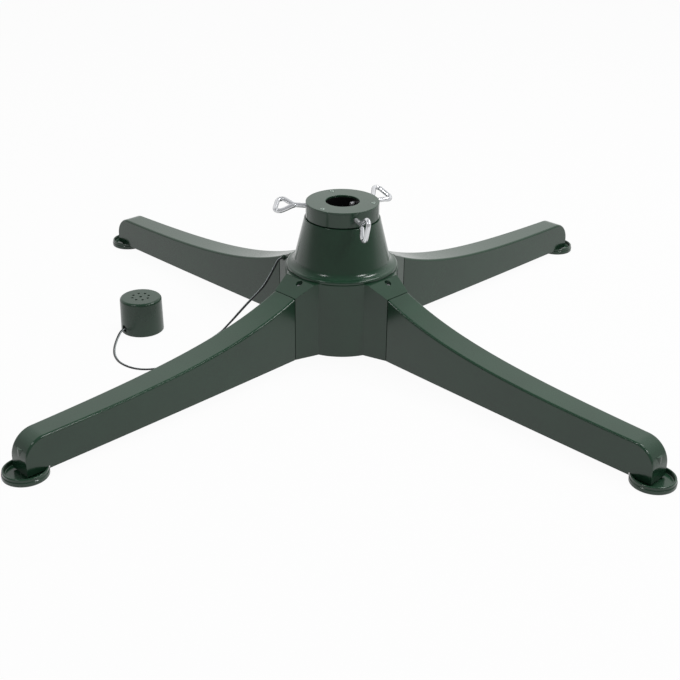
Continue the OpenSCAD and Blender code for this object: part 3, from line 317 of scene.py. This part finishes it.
def post(bm, x, y, radius, low, high, steps=32):
    """A closed upright cylinder."""
    turns = [2 * math.pi * k / steps for k in range(steps)]
    prism(bm, [(x + radius * math.cos(a), y + radius * math.sin(a)) for a in turns], low, high)


def block(bm, low, high):
    """A closed box between two corners."""
    (x0, y0, z0), (x1, y1, z1) = low, high
    prism(bm, [(x0, y0), (x1, y0), (x1, y1), (x0, y1)], z0, z1)


def replace_mesh(obj):
    """Turns the object's modifiers into plain mesh."""
    deps = bpy.context.evaluated_depsgraph_get()
    fresh = bpy.data.meshes.new_from_object(obj.evaluated_get(deps), depsgraph=deps)
    obj.modifiers.clear()
    obj.data = fresh


def settle(obj, bevel=0.0, cutters=(), sharp=38.0):
    """Rounds the edges, cuts the openings and leaves one plain mesh with clean normals."""
    if bevel:
        mod = obj.modifiers.new("edges", "BEVEL")
        mod.width = bevel / 1000
        mod.segments = 2
        mod.limit_method = "ANGLE"
        mod.angle_limit = math.radians(40)
    for cutter in cutters:
        mod = obj.modifiers.new("cut", "BOOLEAN")
        mod.operation = "DIFFERENCE"
        mod.solver = "EXACT"
        mod.object = cutter
    replace_mesh(obj)
    for cutter in cutters:
        bpy.data.objects.remove(cutter)
    obj.data.set_sharp_from_angle(angle=math.radians(sharp))
    obj.modifiers.new("normals", "WEIGHTED_NORMAL").keep_sharp = True
    replace_mesh(obj)


def stand_for(obj, body, slot, *nodes):
    """The piece takes the place of CAD nodes and moves with a body; the slot is not used."""
    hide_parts(*nodes)
    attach(obj, body)


# ---------------------------------------------------------------- the sound lead, in metres

ROUTE_MM = [
    (-67, 38, 82.5), (-69.5, 36.5, 82), (-71.8, 35.3, 79.5), (-73.5, 34.5, 76),
    (-75.3, 34, 72.5), (-77.2, 33.4, 69), (-79.6, 32.2, 64.5), (-82.3, 30.5, 60),
    (-85.8, 28.5, 54.5), (-90.8, 27.3, 48), (-97, 27, 41), (-103.5, 26.8, 34),
    (-109.8, 26, 27), (-116, 24.8, 20), (-122.4, 22.7, 13), (-128.5, 19.3, 7.2),
    (-133.5, 14.5, 3.2), (-138.5, 8, 1.4), (-143.5, -0.5, 0.8), (-149, -12, 0.7),
    (-154.5, -24, 0.7), (-160, -36, 0.7), (-166, -48, 0.7), (-173, -58.5, 0.7),
    (-182, -67.5, 0.7), (-191.5, -73.5, 0.7), (-201, -76.5, 0.7), (-211, -77, 0.7),
    (-221, -74, 0.7), (-230, -68, 0.7), (-237, -60.5, 0.7), (-242, -51.5, 0.7),
    (-245.5, -41.5, 0.7), (-247.5, -31, 0.7), (-248.5, -21, 0.7), (-248.8, -11, 0.9),
    (-248.3, -2.5, 2), (-247, 3.5, 4), (-244.5, 7.5, 6), (-241, 10, 7),
]
EXIT_AZ = math.radians(209.8)               # way out of the hub
POD_C = (-225.0, 24.0)                      # the pod's axis, in millimetres
CORE_R = 0.0007                             # each of the two cores
CORE_STEPS = 8
UPRIGHT = Vector((0, 0, 1))                 # what the flat side faces in the slot
FRONT = Vector((-0.35, -0.85, 0.4))         # and where the lead hangs
SLOT_POINTS = 10                            # the lead turns over this many points
LAID_BELOW, HANGS_OVER = 0.004, 0.02        # and over this height above the floor


def halved(points):
    """The line with a smooth half-way point added in every step."""
    n = len(points)
    out = []
    for i in range(n - 1):
        a, b, c, d = points[max(i - 1, 0)], points[i], points[i + 1], points[min(i + 2, n - 1)]
        out += [b, (9 * (b + c) - a - d) / 16]
    return out + [points[-1]]


route = [Vector(p) / 1000 for p in ROUTE_MM]
line = halved(route)


def lead_section():
    """Twin lead: two round cores side by side with a groove between them."""
    pts = []
    for middle, start in ((CORE_R, -115), (-CORE_R, 65)):
        pts += arc((middle, 0.0), CORE_R, start, start + 230, CORE_STEPS)
    return pts


def lead_way(i):
    """Direction of the lead at a point, square to the hub's slot and to the pod's axis."""
    here = line[i]
    if i == 0:
        return Vector((math.cos(EXIT_AZ), math.sin(EXIT_AZ), 0))
    if i == len(line) - 1:
        return Vector((POD_C[0] / 1000 - here.x, POD_C[1] / 1000 - here.y, 0)).normalized()
    return (line[i + 1] - line[i - 1]).normalized()


def build_lead(bm):
    section = lead_section()
    rings = []
    for i, c in enumerate(line):
        way = lead_way(i)
        above = max(0.0, (c.z - LAID_BELOW) / HANGS_OVER)
        hang = min(1.0, i / SLOT_POINTS) * min(1.0, above)
        side = way.cross(UPRIGHT.lerp(FRONT, hang)).normalized()
        up = side.cross(way)
        rings.append([c + side * x + up * z for x, z in section])
    skin(bm, rings)
    # the first core's faces are light grey, a grey core that is partly a painted highlight along
    # the lead; the rest black
    bm.faces.ensure_lookup_table()
    for k, face in enumerate(bm.faces[:-2]):
        if k % len(section) < CORE_STEPS:
            face.material_index = 1


lead = mesh_object("sound_lead", build_lead, SHEATH)
lead.data.materials.append(GREY_CORE_AND_PAINTED_HIGHLIGHT)
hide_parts("sound_cord")
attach(lead, "base")


# ---------------------------------------------------------------- clamp bolts

ROD_R = 2.5
BOLT_Z = 156.0
EYE_START, EYE_LEN, EYE_W, EYE_SKEW, EYE_BEND = 52.4, 18.9, 29.8, 0.9, 4.9
NECK_R = 7.0                                # bend from the shank into the eye
END_OFF, END_TURN = 1.022, 30.6             # cut end: distance in rods, degrees round the shank
END_CHAMFER = 0.35
TIP, TIP_CHAMFER = 14.0, 0.8
THREAD_FROM, THREAD_TO, PITCH, THREAD_DEPTH = 15.2, 38.4, 0.8, 0.28
RINGS_A_TURN = 5
SHANK_RINGS = (38.8, 42.0, 46.0)
BOLT_SIDES = 28
BOLTS = (("rear", 51, 66.0), ("left", 171, -73.5), ("front", 291, 10.5))   # azimuth, roll


def eye_line():
    """Centre line of the bent eye, from the shank to the cut end beside it."""
    far = EYE_START + EYE_LEN
    near_y = EYE_W / 2 - EYE_SKEW
    away_y = -EYE_W / 2 - EYE_SKEW
    off = END_OFF * 2 * ROD_R
    end = Vector((EYE_START - 1.5, -off * math.cos(math.radians(END_TURN))))
    lift = -off * math.sin(math.radians(END_TURN))
    near = math.degrees(math.atan(near_y / EYE_LEN))
    away = math.degrees(math.atan((end.y - away_y) / (far - end.x)))
    neck_x = EYE_START - NECK_R * math.tan(math.radians(near / 2))
    bend_x = far - EYE_BEND
    first = (bend_x, near_y - EYE_BEND * math.tan(math.radians(45 + near / 2)))
    second = (bend_x, away_y + EYE_BEND * math.tan(math.radians(45 + away / 2)))
    flat = arc((neck_x, NECK_R), NECK_R, -90, near - 90, 10)
    flat += arc(first, EYE_BEND, 90 + near, 0, 18)
    flat += arc(second, EYE_BEND, 0, -90 - away, 18)
    points = [Vector((x, y, 0)) for x, y in flat]
    start = Vector(flat[-1])
    steps = 12
    for i in range(1, steps + 1):
        t = i / steps
        q = start.lerp(end, t)
        points.append(Vector((q.x, q.y, lift * t * t * (3 - 2 * t))))
    return points


def build_bolt(bm):
    turns = [2 * math.pi * j / BOLT_SIDES for j in range(BOLT_SIDES)]
    rings = []

    def straight_ring(x, r):
        rings.append([Vector((x, r * math.cos(a), r * math.sin(a))) for a in turns])

    straight_ring(TIP, ROD_R - TIP_CHAMFER)
    straight_ring(14.8, ROD_R - 0.05)
    x = THREAD_FROM
    while x < THREAD_TO:
        fade = min(1.0, (x - THREAD_FROM) / PITCH, (THREAD_TO - x) / (2 * PITCH))
        ring = []
        for a in turns:
            wave = (x / PITCH - a / (2 * math.pi)) % 1.0
            r = ROD_R - 0.03 - THREAD_DEPTH * fade * abs(2 * wave - 1)
            ring.append(Vector((x, r * math.cos(a), r * math.sin(a))))
        rings.append(ring)
        x += PITCH / RINGS_A_TURN
    for x in SHANK_RINGS:
        straight_ring(x, ROD_R)

    rod = eye_line()
    ahead, side = Vector((1, 0, 0)), Vector((0, 1, 0))
    last = len(rod) - 1
    for i, c in enumerate(rod):
        way = (rod[min(i + 1, last)] - rod[max(i - 1, 0)]).normalized()
        side = ahead.rotation_difference(way) @ side
        ahead = way
        up = way.cross(side)
        round_way = [side * math.cos(a) + up * math.sin(a) for a in turns]
        rings.append([c + d * ROD_R for d in round_way])
    small = ROD_R - END_CHAMFER
    rings.append([rod[last] + ahead * END_CHAMFER + d * small for d in round_way])
    skin(bm, [[p / 1000 for p in ring] for ring in rings])


for name, azimuth, roll in BOLTS:
    bolt = mesh_object("eye_bolt_" + name, build_bolt, ZINC)
    bolt.data.transform(Matrix.Rotation(math.radians(azimuth), 4, "Z")
                        @ Matrix.Translation((0, 0, BOLT_Z / 1000))
                        @ Matrix.Rotation(math.radians(90 - roll), 4, "X"))
    settle(bolt, sharp=50.0)
    stand_for(bolt, "bolt_" + name, "bright_zinc", "clamp_bolt_" + name)


# ---------------------------------------------------------------- legs and their dishes

ARM_REACH, LEG_ROOT, LEG_END, FOOT_AT = 83.0, 83.8, 405.0, 400.0
NOSE_R = 22.0
NOSE_AT = LEG_END - NOSE_R
LEG_WALL, LEG_EDGE, LEG_BEVEL = 2.6, 2.4, 0.5
TOP_ROOT, TOP_END, TOP_FALL = 81.2, 38.4, 100       # the top falls off exponentially
UNDER_ROOT, UNDER_END = 10.4, 5.0
WIDTH_ROOT, WIDTH_END = 31.6, 24.6
DECK_Z, DECK_EDGE, ARM_FROM, SCREW_AT = 92, 0.5, 61.5, 69.0
CUP_DEPTH = 3.2
CUP_FLOOR = (TOP_ROOT + (DECK_Z - DECK_EDGE - TOP_ROOT)
             * (ARM_REACH - SCREW_AT) / (ARM_REACH - ARM_FROM) - CUP_DEPTH)
LEGS = (("front_right", -45), ("rear_right", 45), ("rear_left", 135), ("front_left", -135))


def leg_top(r):
    return TOP_END + (TOP_ROOT - TOP_END) * math.exp(-(r - ARM_REACH) / TOP_FALL)


NOSE_TOP = leg_top(NOSE_AT)


def leg_skin(r, inset=0.0):
    """Height of the leg's outer face, or of the hollow's roof for an inset of the wall."""
    if r <= NOSE_AT:
        return leg_top(r) - inset
    return NOSE_TOP - NOSE_R + math.sqrt(max(0.0, (NOSE_R - inset) ** 2 - (r - NOSE_AT) ** 2))


def leg_share(r):
    """How far along the leg a radius lies, from 0 at its root to 1 at its end."""
    return (r - ARM_REACH) / (LEG_END - ARM_REACH)


def leg_under(r):
    return UNDER_ROOT + (UNDER_END - UNDER_ROOT) * leg_share(r)


def leg_half(r):
    return (WIDTH_ROOT + (WIDTH_END - WIDTH_ROOT) * max(0.0, leg_share(r)) ** 2) / 2


def build_leg(bm):
    """The leg's open-bottomed channel: outer skin, hollow, rim and end faces."""
    along, round_nose, round_edge = 56, 18, 7
    stations = [LEG_ROOT + (NOSE_AT - LEG_ROOT) * i / along for i in range(along + 1)]
    stations += [NOSE_AT + NOSE_R * math.sin(math.radians(90 * i / round_nose))
                 for i in range(1, round_nose + 1)]
    inner_root, inner_end = LEG_ROOT + 3.0, LEG_END - LEG_WALL
    outer, inner = [], []
    for r in stations:
        w, lo, hi = leg_half(r), leg_under(r), leg_skin(r)
        path = [(-w, lo)] + arc((-w + LEG_EDGE, hi - LEG_EDGE), LEG_EDGE, 180, 90, round_edge)
        path += arc((w - LEG_EDGE, hi - LEG_EDGE), LEG_EDGE, 90, 0, round_edge) + [(w, lo)]
        outer.append([bm.verts.new((r / 1000, y / 1000, z / 1000)) for y, z in path])
        s = inner_root + (r - LEG_ROOT) * (inner_end - inner_root) / (LEG_END - LEG_ROOT)
        w, lo, hi = leg_half(s) - LEG_WALL, leg_under(s), leg_skin(s, LEG_WALL)
        inner.append([bm.verts.new((s / 1000, y / 1000, z / 1000))
                      for y, z in ((-w, lo), (-w, hi), (w, hi), (w, lo))])
    for a, b in zip(outer, outer[1:]):
        for j in range(len(a) - 1):
            bm.faces.new((a[j], a[j + 1], b[j + 1], b[j]))
    for a, b in zip(inner, inner[1:]):
        for j in range(len(a) - 1):
            bm.faces.new((a[j], b[j], b[j + 1], a[j + 1]))
    for i in range(len(stations) - 1):
        bm.faces.new((outer[i][0], outer[i + 1][0], inner[i + 1][0], inner[i][0]))
        bm.faces.new((outer[i][-1], inner[i][-1], inner[i + 1][-1], outer[i + 1][-1]))
    for out, inn in ((outer[0], inner[0]), (outer[-1], inner[-1])):
        bm.faces.new(out)
        bm.faces.new(list(reversed(inn)))
        bm.faces.new((out[0], inn[0], inn[-1], out[-1]))


def build_leg_inside(bm):
    """Cross ribs, the foot's post, and the tongue with its screw boss."""
    ribs, rib_half, rib_low, bite = 7, 1, 12.4, 0.4
    for i in range(1, ribs + 1):
        r = ARM_REACH + (NOSE_AT - ARM_REACH) * i / ribs
        w = leg_half(r) - LEG_WALL + bite
        top = leg_skin(r + rib_half, LEG_WALL) + bite
        block(bm, (r - rib_half, -w, rib_low), (r + rib_half, w, top))
    post(bm, FOOT_AT, 0, 4.9, 3.05, leg_skin(FOOT_AT, LEG_WALL) + 1, 40)
    w, tip, low, top, wall, lap = 12.7, 58.0, 13.4, 78.1, 2.4, 2.3
    root = LEG_ROOT + 0.5
    block(bm, (tip, -w, low), (tip + wall, w, top))
    block(bm, (tip + lap, -w, top - wall), (root, w, top))
    for side in (-1, 1):
        y = sorted((side * w, side * (w - wall)))
        block(bm, (tip + lap, y[0], low), (root, y[1], top - lap))
    post(bm, 65.5, 3.0, 4.4, CUP_FLOOR - 19.9, CUP_FLOOR - 1.9)


DISH_R, DISH_H, DISH_FLOOR, DISH_RIM = 21.6, 7.6, 3.0, 2.8
RING_IN, RING_OUT, RING_LOW, RING_TOP = 18.5, 21.9, -1.0, 7.9


def build_dish_ring(bm):
    """The dish's rim with its play, as a cutter in the leg."""
    revolve(bm, [(RING_IN, RING_LOW), (RING_OUT, RING_LOW), (RING_OUT, RING_TOP),
                 (RING_IN, RING_TOP)], (FOOT_AT, 0.0), 72)


def build_dish(bm):
    """Foot: a groove below, a step round the wall, a rounded rim and a dished floor."""
    r, h, floor_t = DISH_R, DISH_H, DISH_FLOOR
    step = h * 0.55
    groove_in, groove_out, groove_h = 8.6, 15.6, 0.8
    hole, sink, sink_h = 2.2, 4.0, 1.8
    under, rim, bowl = 1.0, 1.05, 1.2               # roundings
    profile = [(sink, 0.0), (groove_in, 0.0), (groove_in, groove_h),
               (groove_out, groove_h), (groove_out, 0.0)]
    profile += arc((r - under, under), under, -90, 0, 8)
    profile += [(r, step - 0.3), (r - 0.12, step), (r - 0.62, step + 0.4), (r - 0.7, step + 0.7)]
    profile += arc((r - 0.7 - rim, h - rim), rim, 0, 180, 14)
    profile += arc((r - DISH_RIM - bowl, floor_t + bowl), bowl, 0, -90, 8)
    profile += [(hole, floor_t), (hole, sink_h), (sink, sink_h)]
    revolve(bm, profile, (FOOT_AT, 0.0), 128)


for name, azimuth in LEGS:
    spin = Matrix.Rotation(math.radians(azimuth), 4, "Z")
    leg = mesh_object("leg_shell_" + name, build_leg, GREEN)
    settle(leg, LEG_BEVEL, [mesh_object("dish_ring", build_dish_ring, GREEN)])
    inside = mesh_object("leg_inside_" + name, build_leg_inside, GREEN, smooth=False)
    leg.data.transform(spin)
    inside.data.transform(spin)
    inside.parent = leg
    stand_for(leg, "base", "green_plastic", "leg_" + name)
    dish = mesh_object("dish_" + name, build_dish, GREEN)
    settle(dish)
    dish.data.transform(spin)
    stand_for(dish, "base", "green_plastic", "foot_" + name)


# ---------------------------------------------------------------- belled cover

COVER_TOP, COVER_TOP_R, COVER_WALL, COVER_LIP = 146.4, 40.5, 2.2, 4.2
WAIST_R, WAIST_H = 51.3, 10.0                       # where the cone meets the flare
FLARE_R, BEAD_R, FLARE_TURN = 8.0, 2.2, 262         # the flare's end angle, in degrees
BOSS_AT, BOSS_R, BOSS_TOP = 48.9, 3.2, 100.0


def build_cover(bm):
    lean = math.degrees(math.atan((WAIST_R - COVER_TOP_R) / (COVER_TOP - DECK_Z - WAIST_H)))
    c = (WAIST_R + FLARE_R * math.cos(math.radians(lean)),
         DECK_Z + WAIST_H + FLARE_R * math.sin(math.radians(lean)))
    bead = (c[0] + (FLARE_R + BEAD_R) * math.cos(math.radians(FLARE_TURN)),
            c[1] + (FLARE_R + BEAD_R) * math.sin(math.radians(FLARE_TURN)))
    rim = bead[0] + BEAD_R
    outer_top, lip = (COVER_TOP_R, COVER_TOP), (COVER_TOP_R - COVER_LIP, COVER_TOP)
    under_lip = COVER_TOP - COVER_WALL
    inner_x = COVER_TOP_R - COVER_WALL / math.cos(math.radians(lean))
    profile = [(rim, DECK_Z)] + arc(bead, BEAD_R, 0, FLARE_TURN - 180, 12)
    profile += arc(c, FLARE_R, FLARE_TURN, 180 + lean, 24)[1:]
    profile += corner(profile[-1], outer_top, lip, 0.6)
    profile += corner(outer_top, lip, (lip[0], under_lip), 0.5)
    profile += [(lip[0], under_lip), (inner_x - 0.2, under_lip)]
    profile += list(reversed(arc(c, FLARE_R + COVER_WALL, FLARE_TURN, 180 + lean, 16)))
    profile += [(rim - COVER_WALL, DECK_Z)]
    revolve(bm, profile, steps=192)


def build_cover_bosses(bm):
    for k in range(4):
        a = math.radians(90 * k)
        post(bm, BOSS_AT * math.cos(a), BOSS_AT * math.sin(a), BOSS_R, DECK_Z, BOSS_TOP)


cover = mesh_object("belled_cover", build_cover, GREEN)
settle(cover)
stand_for(cover, "base", "green_plastic", "cone_cover")
bosses = mesh_object("cover_bosses", build_cover_bosses, GREEN)
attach(bosses, "base")


# ---------------------------------------------------------------- lid of the head

LID_AZ = (111, 231, 351)
HEAD_R, HEAD_TOP, LID_T, MOUTH_R = 39.1, 164.0, 2.0, 18.0
LID_SCREW_AT = HEAD_R - 6.1
RECESS_R, RECESS_DEPTH, BORE_R = 2.8, 0.8, 1.65


def build_lid(bm):
    low = HEAD_TOP - LID_T
    profile = [(MOUTH_R, low), (HEAD_R, low)]
    profile += corner((HEAD_R, low), (HEAD_R, HEAD_TOP), (MOUTH_R, HEAD_TOP), 0.6, 6)
    profile += corner((HEAD_R, HEAD_TOP), (MOUTH_R, HEAD_TOP), (MOUTH_R, low), 0.7, 6)
    revolve(bm, profile, steps=192)


def lid_cutter(name, radius, depth):
    def build(bm):
        for az in LID_AZ:
            a = math.radians(az)
            post(bm, LID_SCREW_AT * math.cos(a), LID_SCREW_AT * math.sin(a), radius,
                 HEAD_TOP - depth, HEAD_TOP + 2)
    return mesh_object(name, build, GREEN)


lid = mesh_object("head_top", build_lid, GREEN)
settle(lid, 0.0, [lid_cutter("recess", RECESS_R, RECESS_DEPTH),
                  lid_cutter("bore", BORE_R, 2 * LID_T)])
stand_for(lid, "head", "green_plastic", "head_lid")


# ---------------------------------------------------------------- sound pod

POD_R, POD_H, POD_WALL, POD_EDGE, POD_DRAFT = 23.8, 39.5, 2.0, 3.0, 0.6
POD_EXIT = ROUTE_MM[-1]
HOLE_R, HOLES, HOLE_RING = 1.45, 8, 9.3
CORD_SLOT_HALF, CORD_SLOT_LOW, CORD_SLOT_Z = 4.0, 3.4, 7.0


def build_pod(bm):
    """The cup, with the middle sound hole on its axis."""
    c = (POD_R - POD_DRAFT - POD_EDGE, POD_H - POD_EDGE)
    under_top = (HOLE_R, POD_H - POD_WALL)
    profile = [(POD_R - POD_WALL, 0.0), (POD_R - 0.4, 0.0), (POD_R, 0.4)]
    profile += arc(c, POD_EDGE, 0, 90, 14)
    profile += corner(c, (HOLE_R, POD_H), under_top, 0.3, 3)
    profile += [under_top]
    profile += arc(c, POD_EDGE - POD_WALL, 90, 0, 5)
    revolve(bm, profile, POD_C, 160)


def build_sound_holes(bm):
    for i in range(HOLES):
        a = math.radians(45 * i + 22.5)
        post(bm, POD_C[0] + HOLE_RING * math.cos(a), POD_C[1] + HOLE_RING * math.sin(a), HOLE_R,
             POD_H - 4, POD_H + 2)


def build_pod_slot(bm):
    """The arched way through the wall, where the lead comes in."""
    way = Vector((POD_EXIT[0] - POD_C[0], POD_EXIT[1] - POD_C[1], 0))
    reach = way.length
    way.normalize()
    across = Vector((-way.y, way.x, 0))
    outline = [(-CORD_SLOT_HALF, CORD_SLOT_LOW), (CORD_SLOT_HALF, CORD_SLOT_LOW)]
    outline += arc((0.0, CORD_SLOT_Z), CORD_SLOT_HALF, 0, 180, 16)
    rings = []
    for d in (reach - 3, reach + 5):
        base = Vector((POD_C[0], POD_C[1], 0)) + way * d
        rings.append([(base + across * x + Vector((0, 0, z))) / 1000 for x, z in outline])
    skin(bm, rings)


pod = mesh_object("pod_housing", build_pod, POD_GREEN)
settle(pod, 0.0, [mesh_object("holes", build_sound_holes, POD_GREEN),
                  mesh_object("slot", build_pod_slot, POD_GREEN)])
stand_for(pod, "base", "green_plastic", "pod_shell")


# ---------------------------------------------------------------- floor and room

WHITE = (1, 1, 1, 1)
FLOOR_HALF, FLOOR_DROP = 12.0, 0.0002
FLOOR_GREY, FLOOR_GLOW = 0.5, 0.96      # what takes the shadow, and the share that is plain white
ROOM_GREY = 0.38
SWEEP_AT, SWEEP_FROM, SWEEP_TO = (0, 1.5, 0), 2.3, 2.9     # where reflections see it end
SKY_FROM, SKY_TO = -0.1, 0.45           # from the room in front to the sweep behind
CEILING = [(0.0, (1, 1, 1)), (0.62, (1, 1, 1)), (0.9, (0.22, 0.23, 0.24))]
ROOM = [(0.0, (ROOM_GREY, ROOM_GREY, ROOM_GREY)), (0.35, (0.28, 0.28, 0.28)),
        (0.9, (0.2, 0.21, 0.22))]


def seen(tree, rays):
    """1 for the rays that show a surface, 0 for those that only light it."""
    either = computed(tree, "MAXIMUM", rays["Is Camera Ray"], rays["Is Glossy Ray"])
    return computed(tree, "MAXIMUM", either, rays["Is Transmission Ray"])


def blend(tree, share, a, b, output):
    """Mixes two shaders into the output node's surface."""
    mix = tree.nodes.new("ShaderNodeMixShader")
    for socket, source in zip(mix.inputs, (share, a.outputs[0], b.outputs[0])):
        tree.links.new(source, socket)
    out = tree.nodes.new(output)
    tree.links.new(mix.outputs[0], out.inputs["Surface"])


def stage_material():
    """White to look at, with shadows; its reflection ends in the room's grey."""
    mat = bpy.data.materials.new("pale_floor")
    mat.use_nodes = True
    tree = mat.node_tree
    tree.nodes.clear()
    rays = tree.nodes.new("ShaderNodeLightPath").outputs
    diffuse = add(tree, "ShaderNodeBsdfDiffuse", Color=(FLOOR_GREY, FLOOR_GREY, FLOOR_GREY, 1))
    glow = add(tree, "ShaderNodeEmission", Strength=1.0)
    place = tree.nodes.new("ShaderNodeNewGeometry").outputs["Position"]
    away = vector_step(tree, "DISTANCE", place, SWEEP_AT).outputs["Value"]
    past = mapped(tree, away, SWEEP_FROM, SWEEP_TO)
    mirrored = computed(tree, "MULTIPLY", past, rays["Is Glossy Ray"])
    feed(tree, glow.inputs["Color"],
         mixed(tree, mirrored, WHITE, (ROOM_GREY, ROOM_GREY, ROOM_GREY, 1)))
    share = computed(tree, "MULTIPLY", seen(tree, rays), FLOOR_GLOW)
    blend(tree, share, diffuse, glow, "ShaderNodeOutputMaterial")
    return mat


def build_floor(bm):
    s = FLOOR_HALF
    bm.faces.new([bm.verts.new(p) for p in ((-s, -s, 0), (s, -s, 0), (s, s, 0), (-s, s, 0))])


floor = mesh_object("floor", build_floor, stage_material(), smooth=False)
floor.location.z = -FLOOR_DROP


def studio():
    """A white sweep behind the object, a grey room in front and a darker ceiling.

    The camera itself sees plain white all round, and the object is lit by a soft sky.
    """
    world = bpy.data.worlds.new("studio")
    world.use_nodes = True
    tree = world.node_tree
    tree.nodes.clear()
    rays = tree.nodes.new("ShaderNodeLightPath").outputs
    soft = add(tree, "ShaderNodeBackground", Color=(0.95, 0.97, 1.0, 1), Strength=0.25)
    shown = add(tree, "ShaderNodeBackground", Strength=1.0)
    way = tree.nodes.new("ShaderNodeTexCoord").outputs["Generated"]
    split = tree.nodes.new("ShaderNodeSeparateXYZ")
    tree.links.new(way, split.inputs[0])
    behind = mapped(tree, split.outputs["Y"], SKY_FROM, SKY_TO)
    around = mixed(tree, behind, ramp(tree, split.outputs["Z"], ROOM),
                   ramp(tree, split.outputs["Z"], CEILING))
    feed(tree, shown.inputs["Color"], mixed(tree, rays["Is Camera Ray"], around, WHITE))
    blend(tree, seen(tree, rays), soft, shown, "ShaderNodeOutputWorld")
    return world


bpy.context.scene.world = studio()


# ---------------------------------------------------------------- lights and camera

LIGHT_AIM = Vector((0, 0, 0.08))
LIGHTS = (      # name, azimuth, elevation, distance and size in m, power in W, seen in gloss
    ("top_light", 50, 77, 2.2, 1.4, 40.0, False),
    ("left_light", -140, 46, 1.9, 0.28, 4.0, True),
    ("right_light", -36, 42, 1.9, 0.4, 8.0, True),
    ("far_right_light", 12, 56, 1.9, 0.45, 8.0, True),
)


def softbox(name, azimuth, elevation, distance, size, power, glossy):
    data = bpy.data.lights.new(name, "AREA")
    data.shape = "SQUARE"
    data.size = size
    data.energy = power
    lamp = bpy.data.objects.new(name, data)
    bpy.context.scene.collection.objects.link(lamp)
    a, e = math.radians(azimuth), math.radians(elevation)
    way = Vector((math.cos(a) * math.cos(e), math.sin(a) * math.cos(e), math.sin(e)))
    lamp.location = LIGHT_AIM + way * distance
    lamp.rotation_euler = (-way).to_track_quat("-Z", "Y").to_euler()
    lamp.visible_glossy = glossy


for light in LIGHTS:
    softbox(*light)

PICTURE_PX, SENSOR_MM = 680, 36.0
FOCAL_PX = 1184.3
SHIFT_PX = (-0.9, 0.1)
ELEVATION = math.radians(26.23)
DISTANCE = 1.3228
ROLL = math.radians(0.69)

camera = bpy.data.cameras.new("camera")
camera.sensor_fit = "AUTO"
camera.sensor_width = SENSOR_MM
camera.lens = FOCAL_PX / PICTURE_PX * SENSOR_MM
camera.shift_x, camera.shift_y = (shift / PICTURE_PX for shift in SHIFT_PX)
camera.clip_start = 0.05
camera.clip_end = 50.0
eye = bpy.data.objects.new("camera", camera)
bpy.context.scene.collection.objects.link(eye)
back = Vector((0, -math.cos(ELEVATION), math.sin(ELEVATION)))
eye.location = back * DISTANCE
eye.rotation_mode = "QUATERNION"
aim = (-back).to_track_quat("-Z", "Y")
eye.rotation_quaternion = aim @ Matrix.Rotation(ROLL, 4, "Z").to_quaternion()
bpy.context.scene.camera = eye
bpy.context.scene.view_settings.view_transform = "Standard"
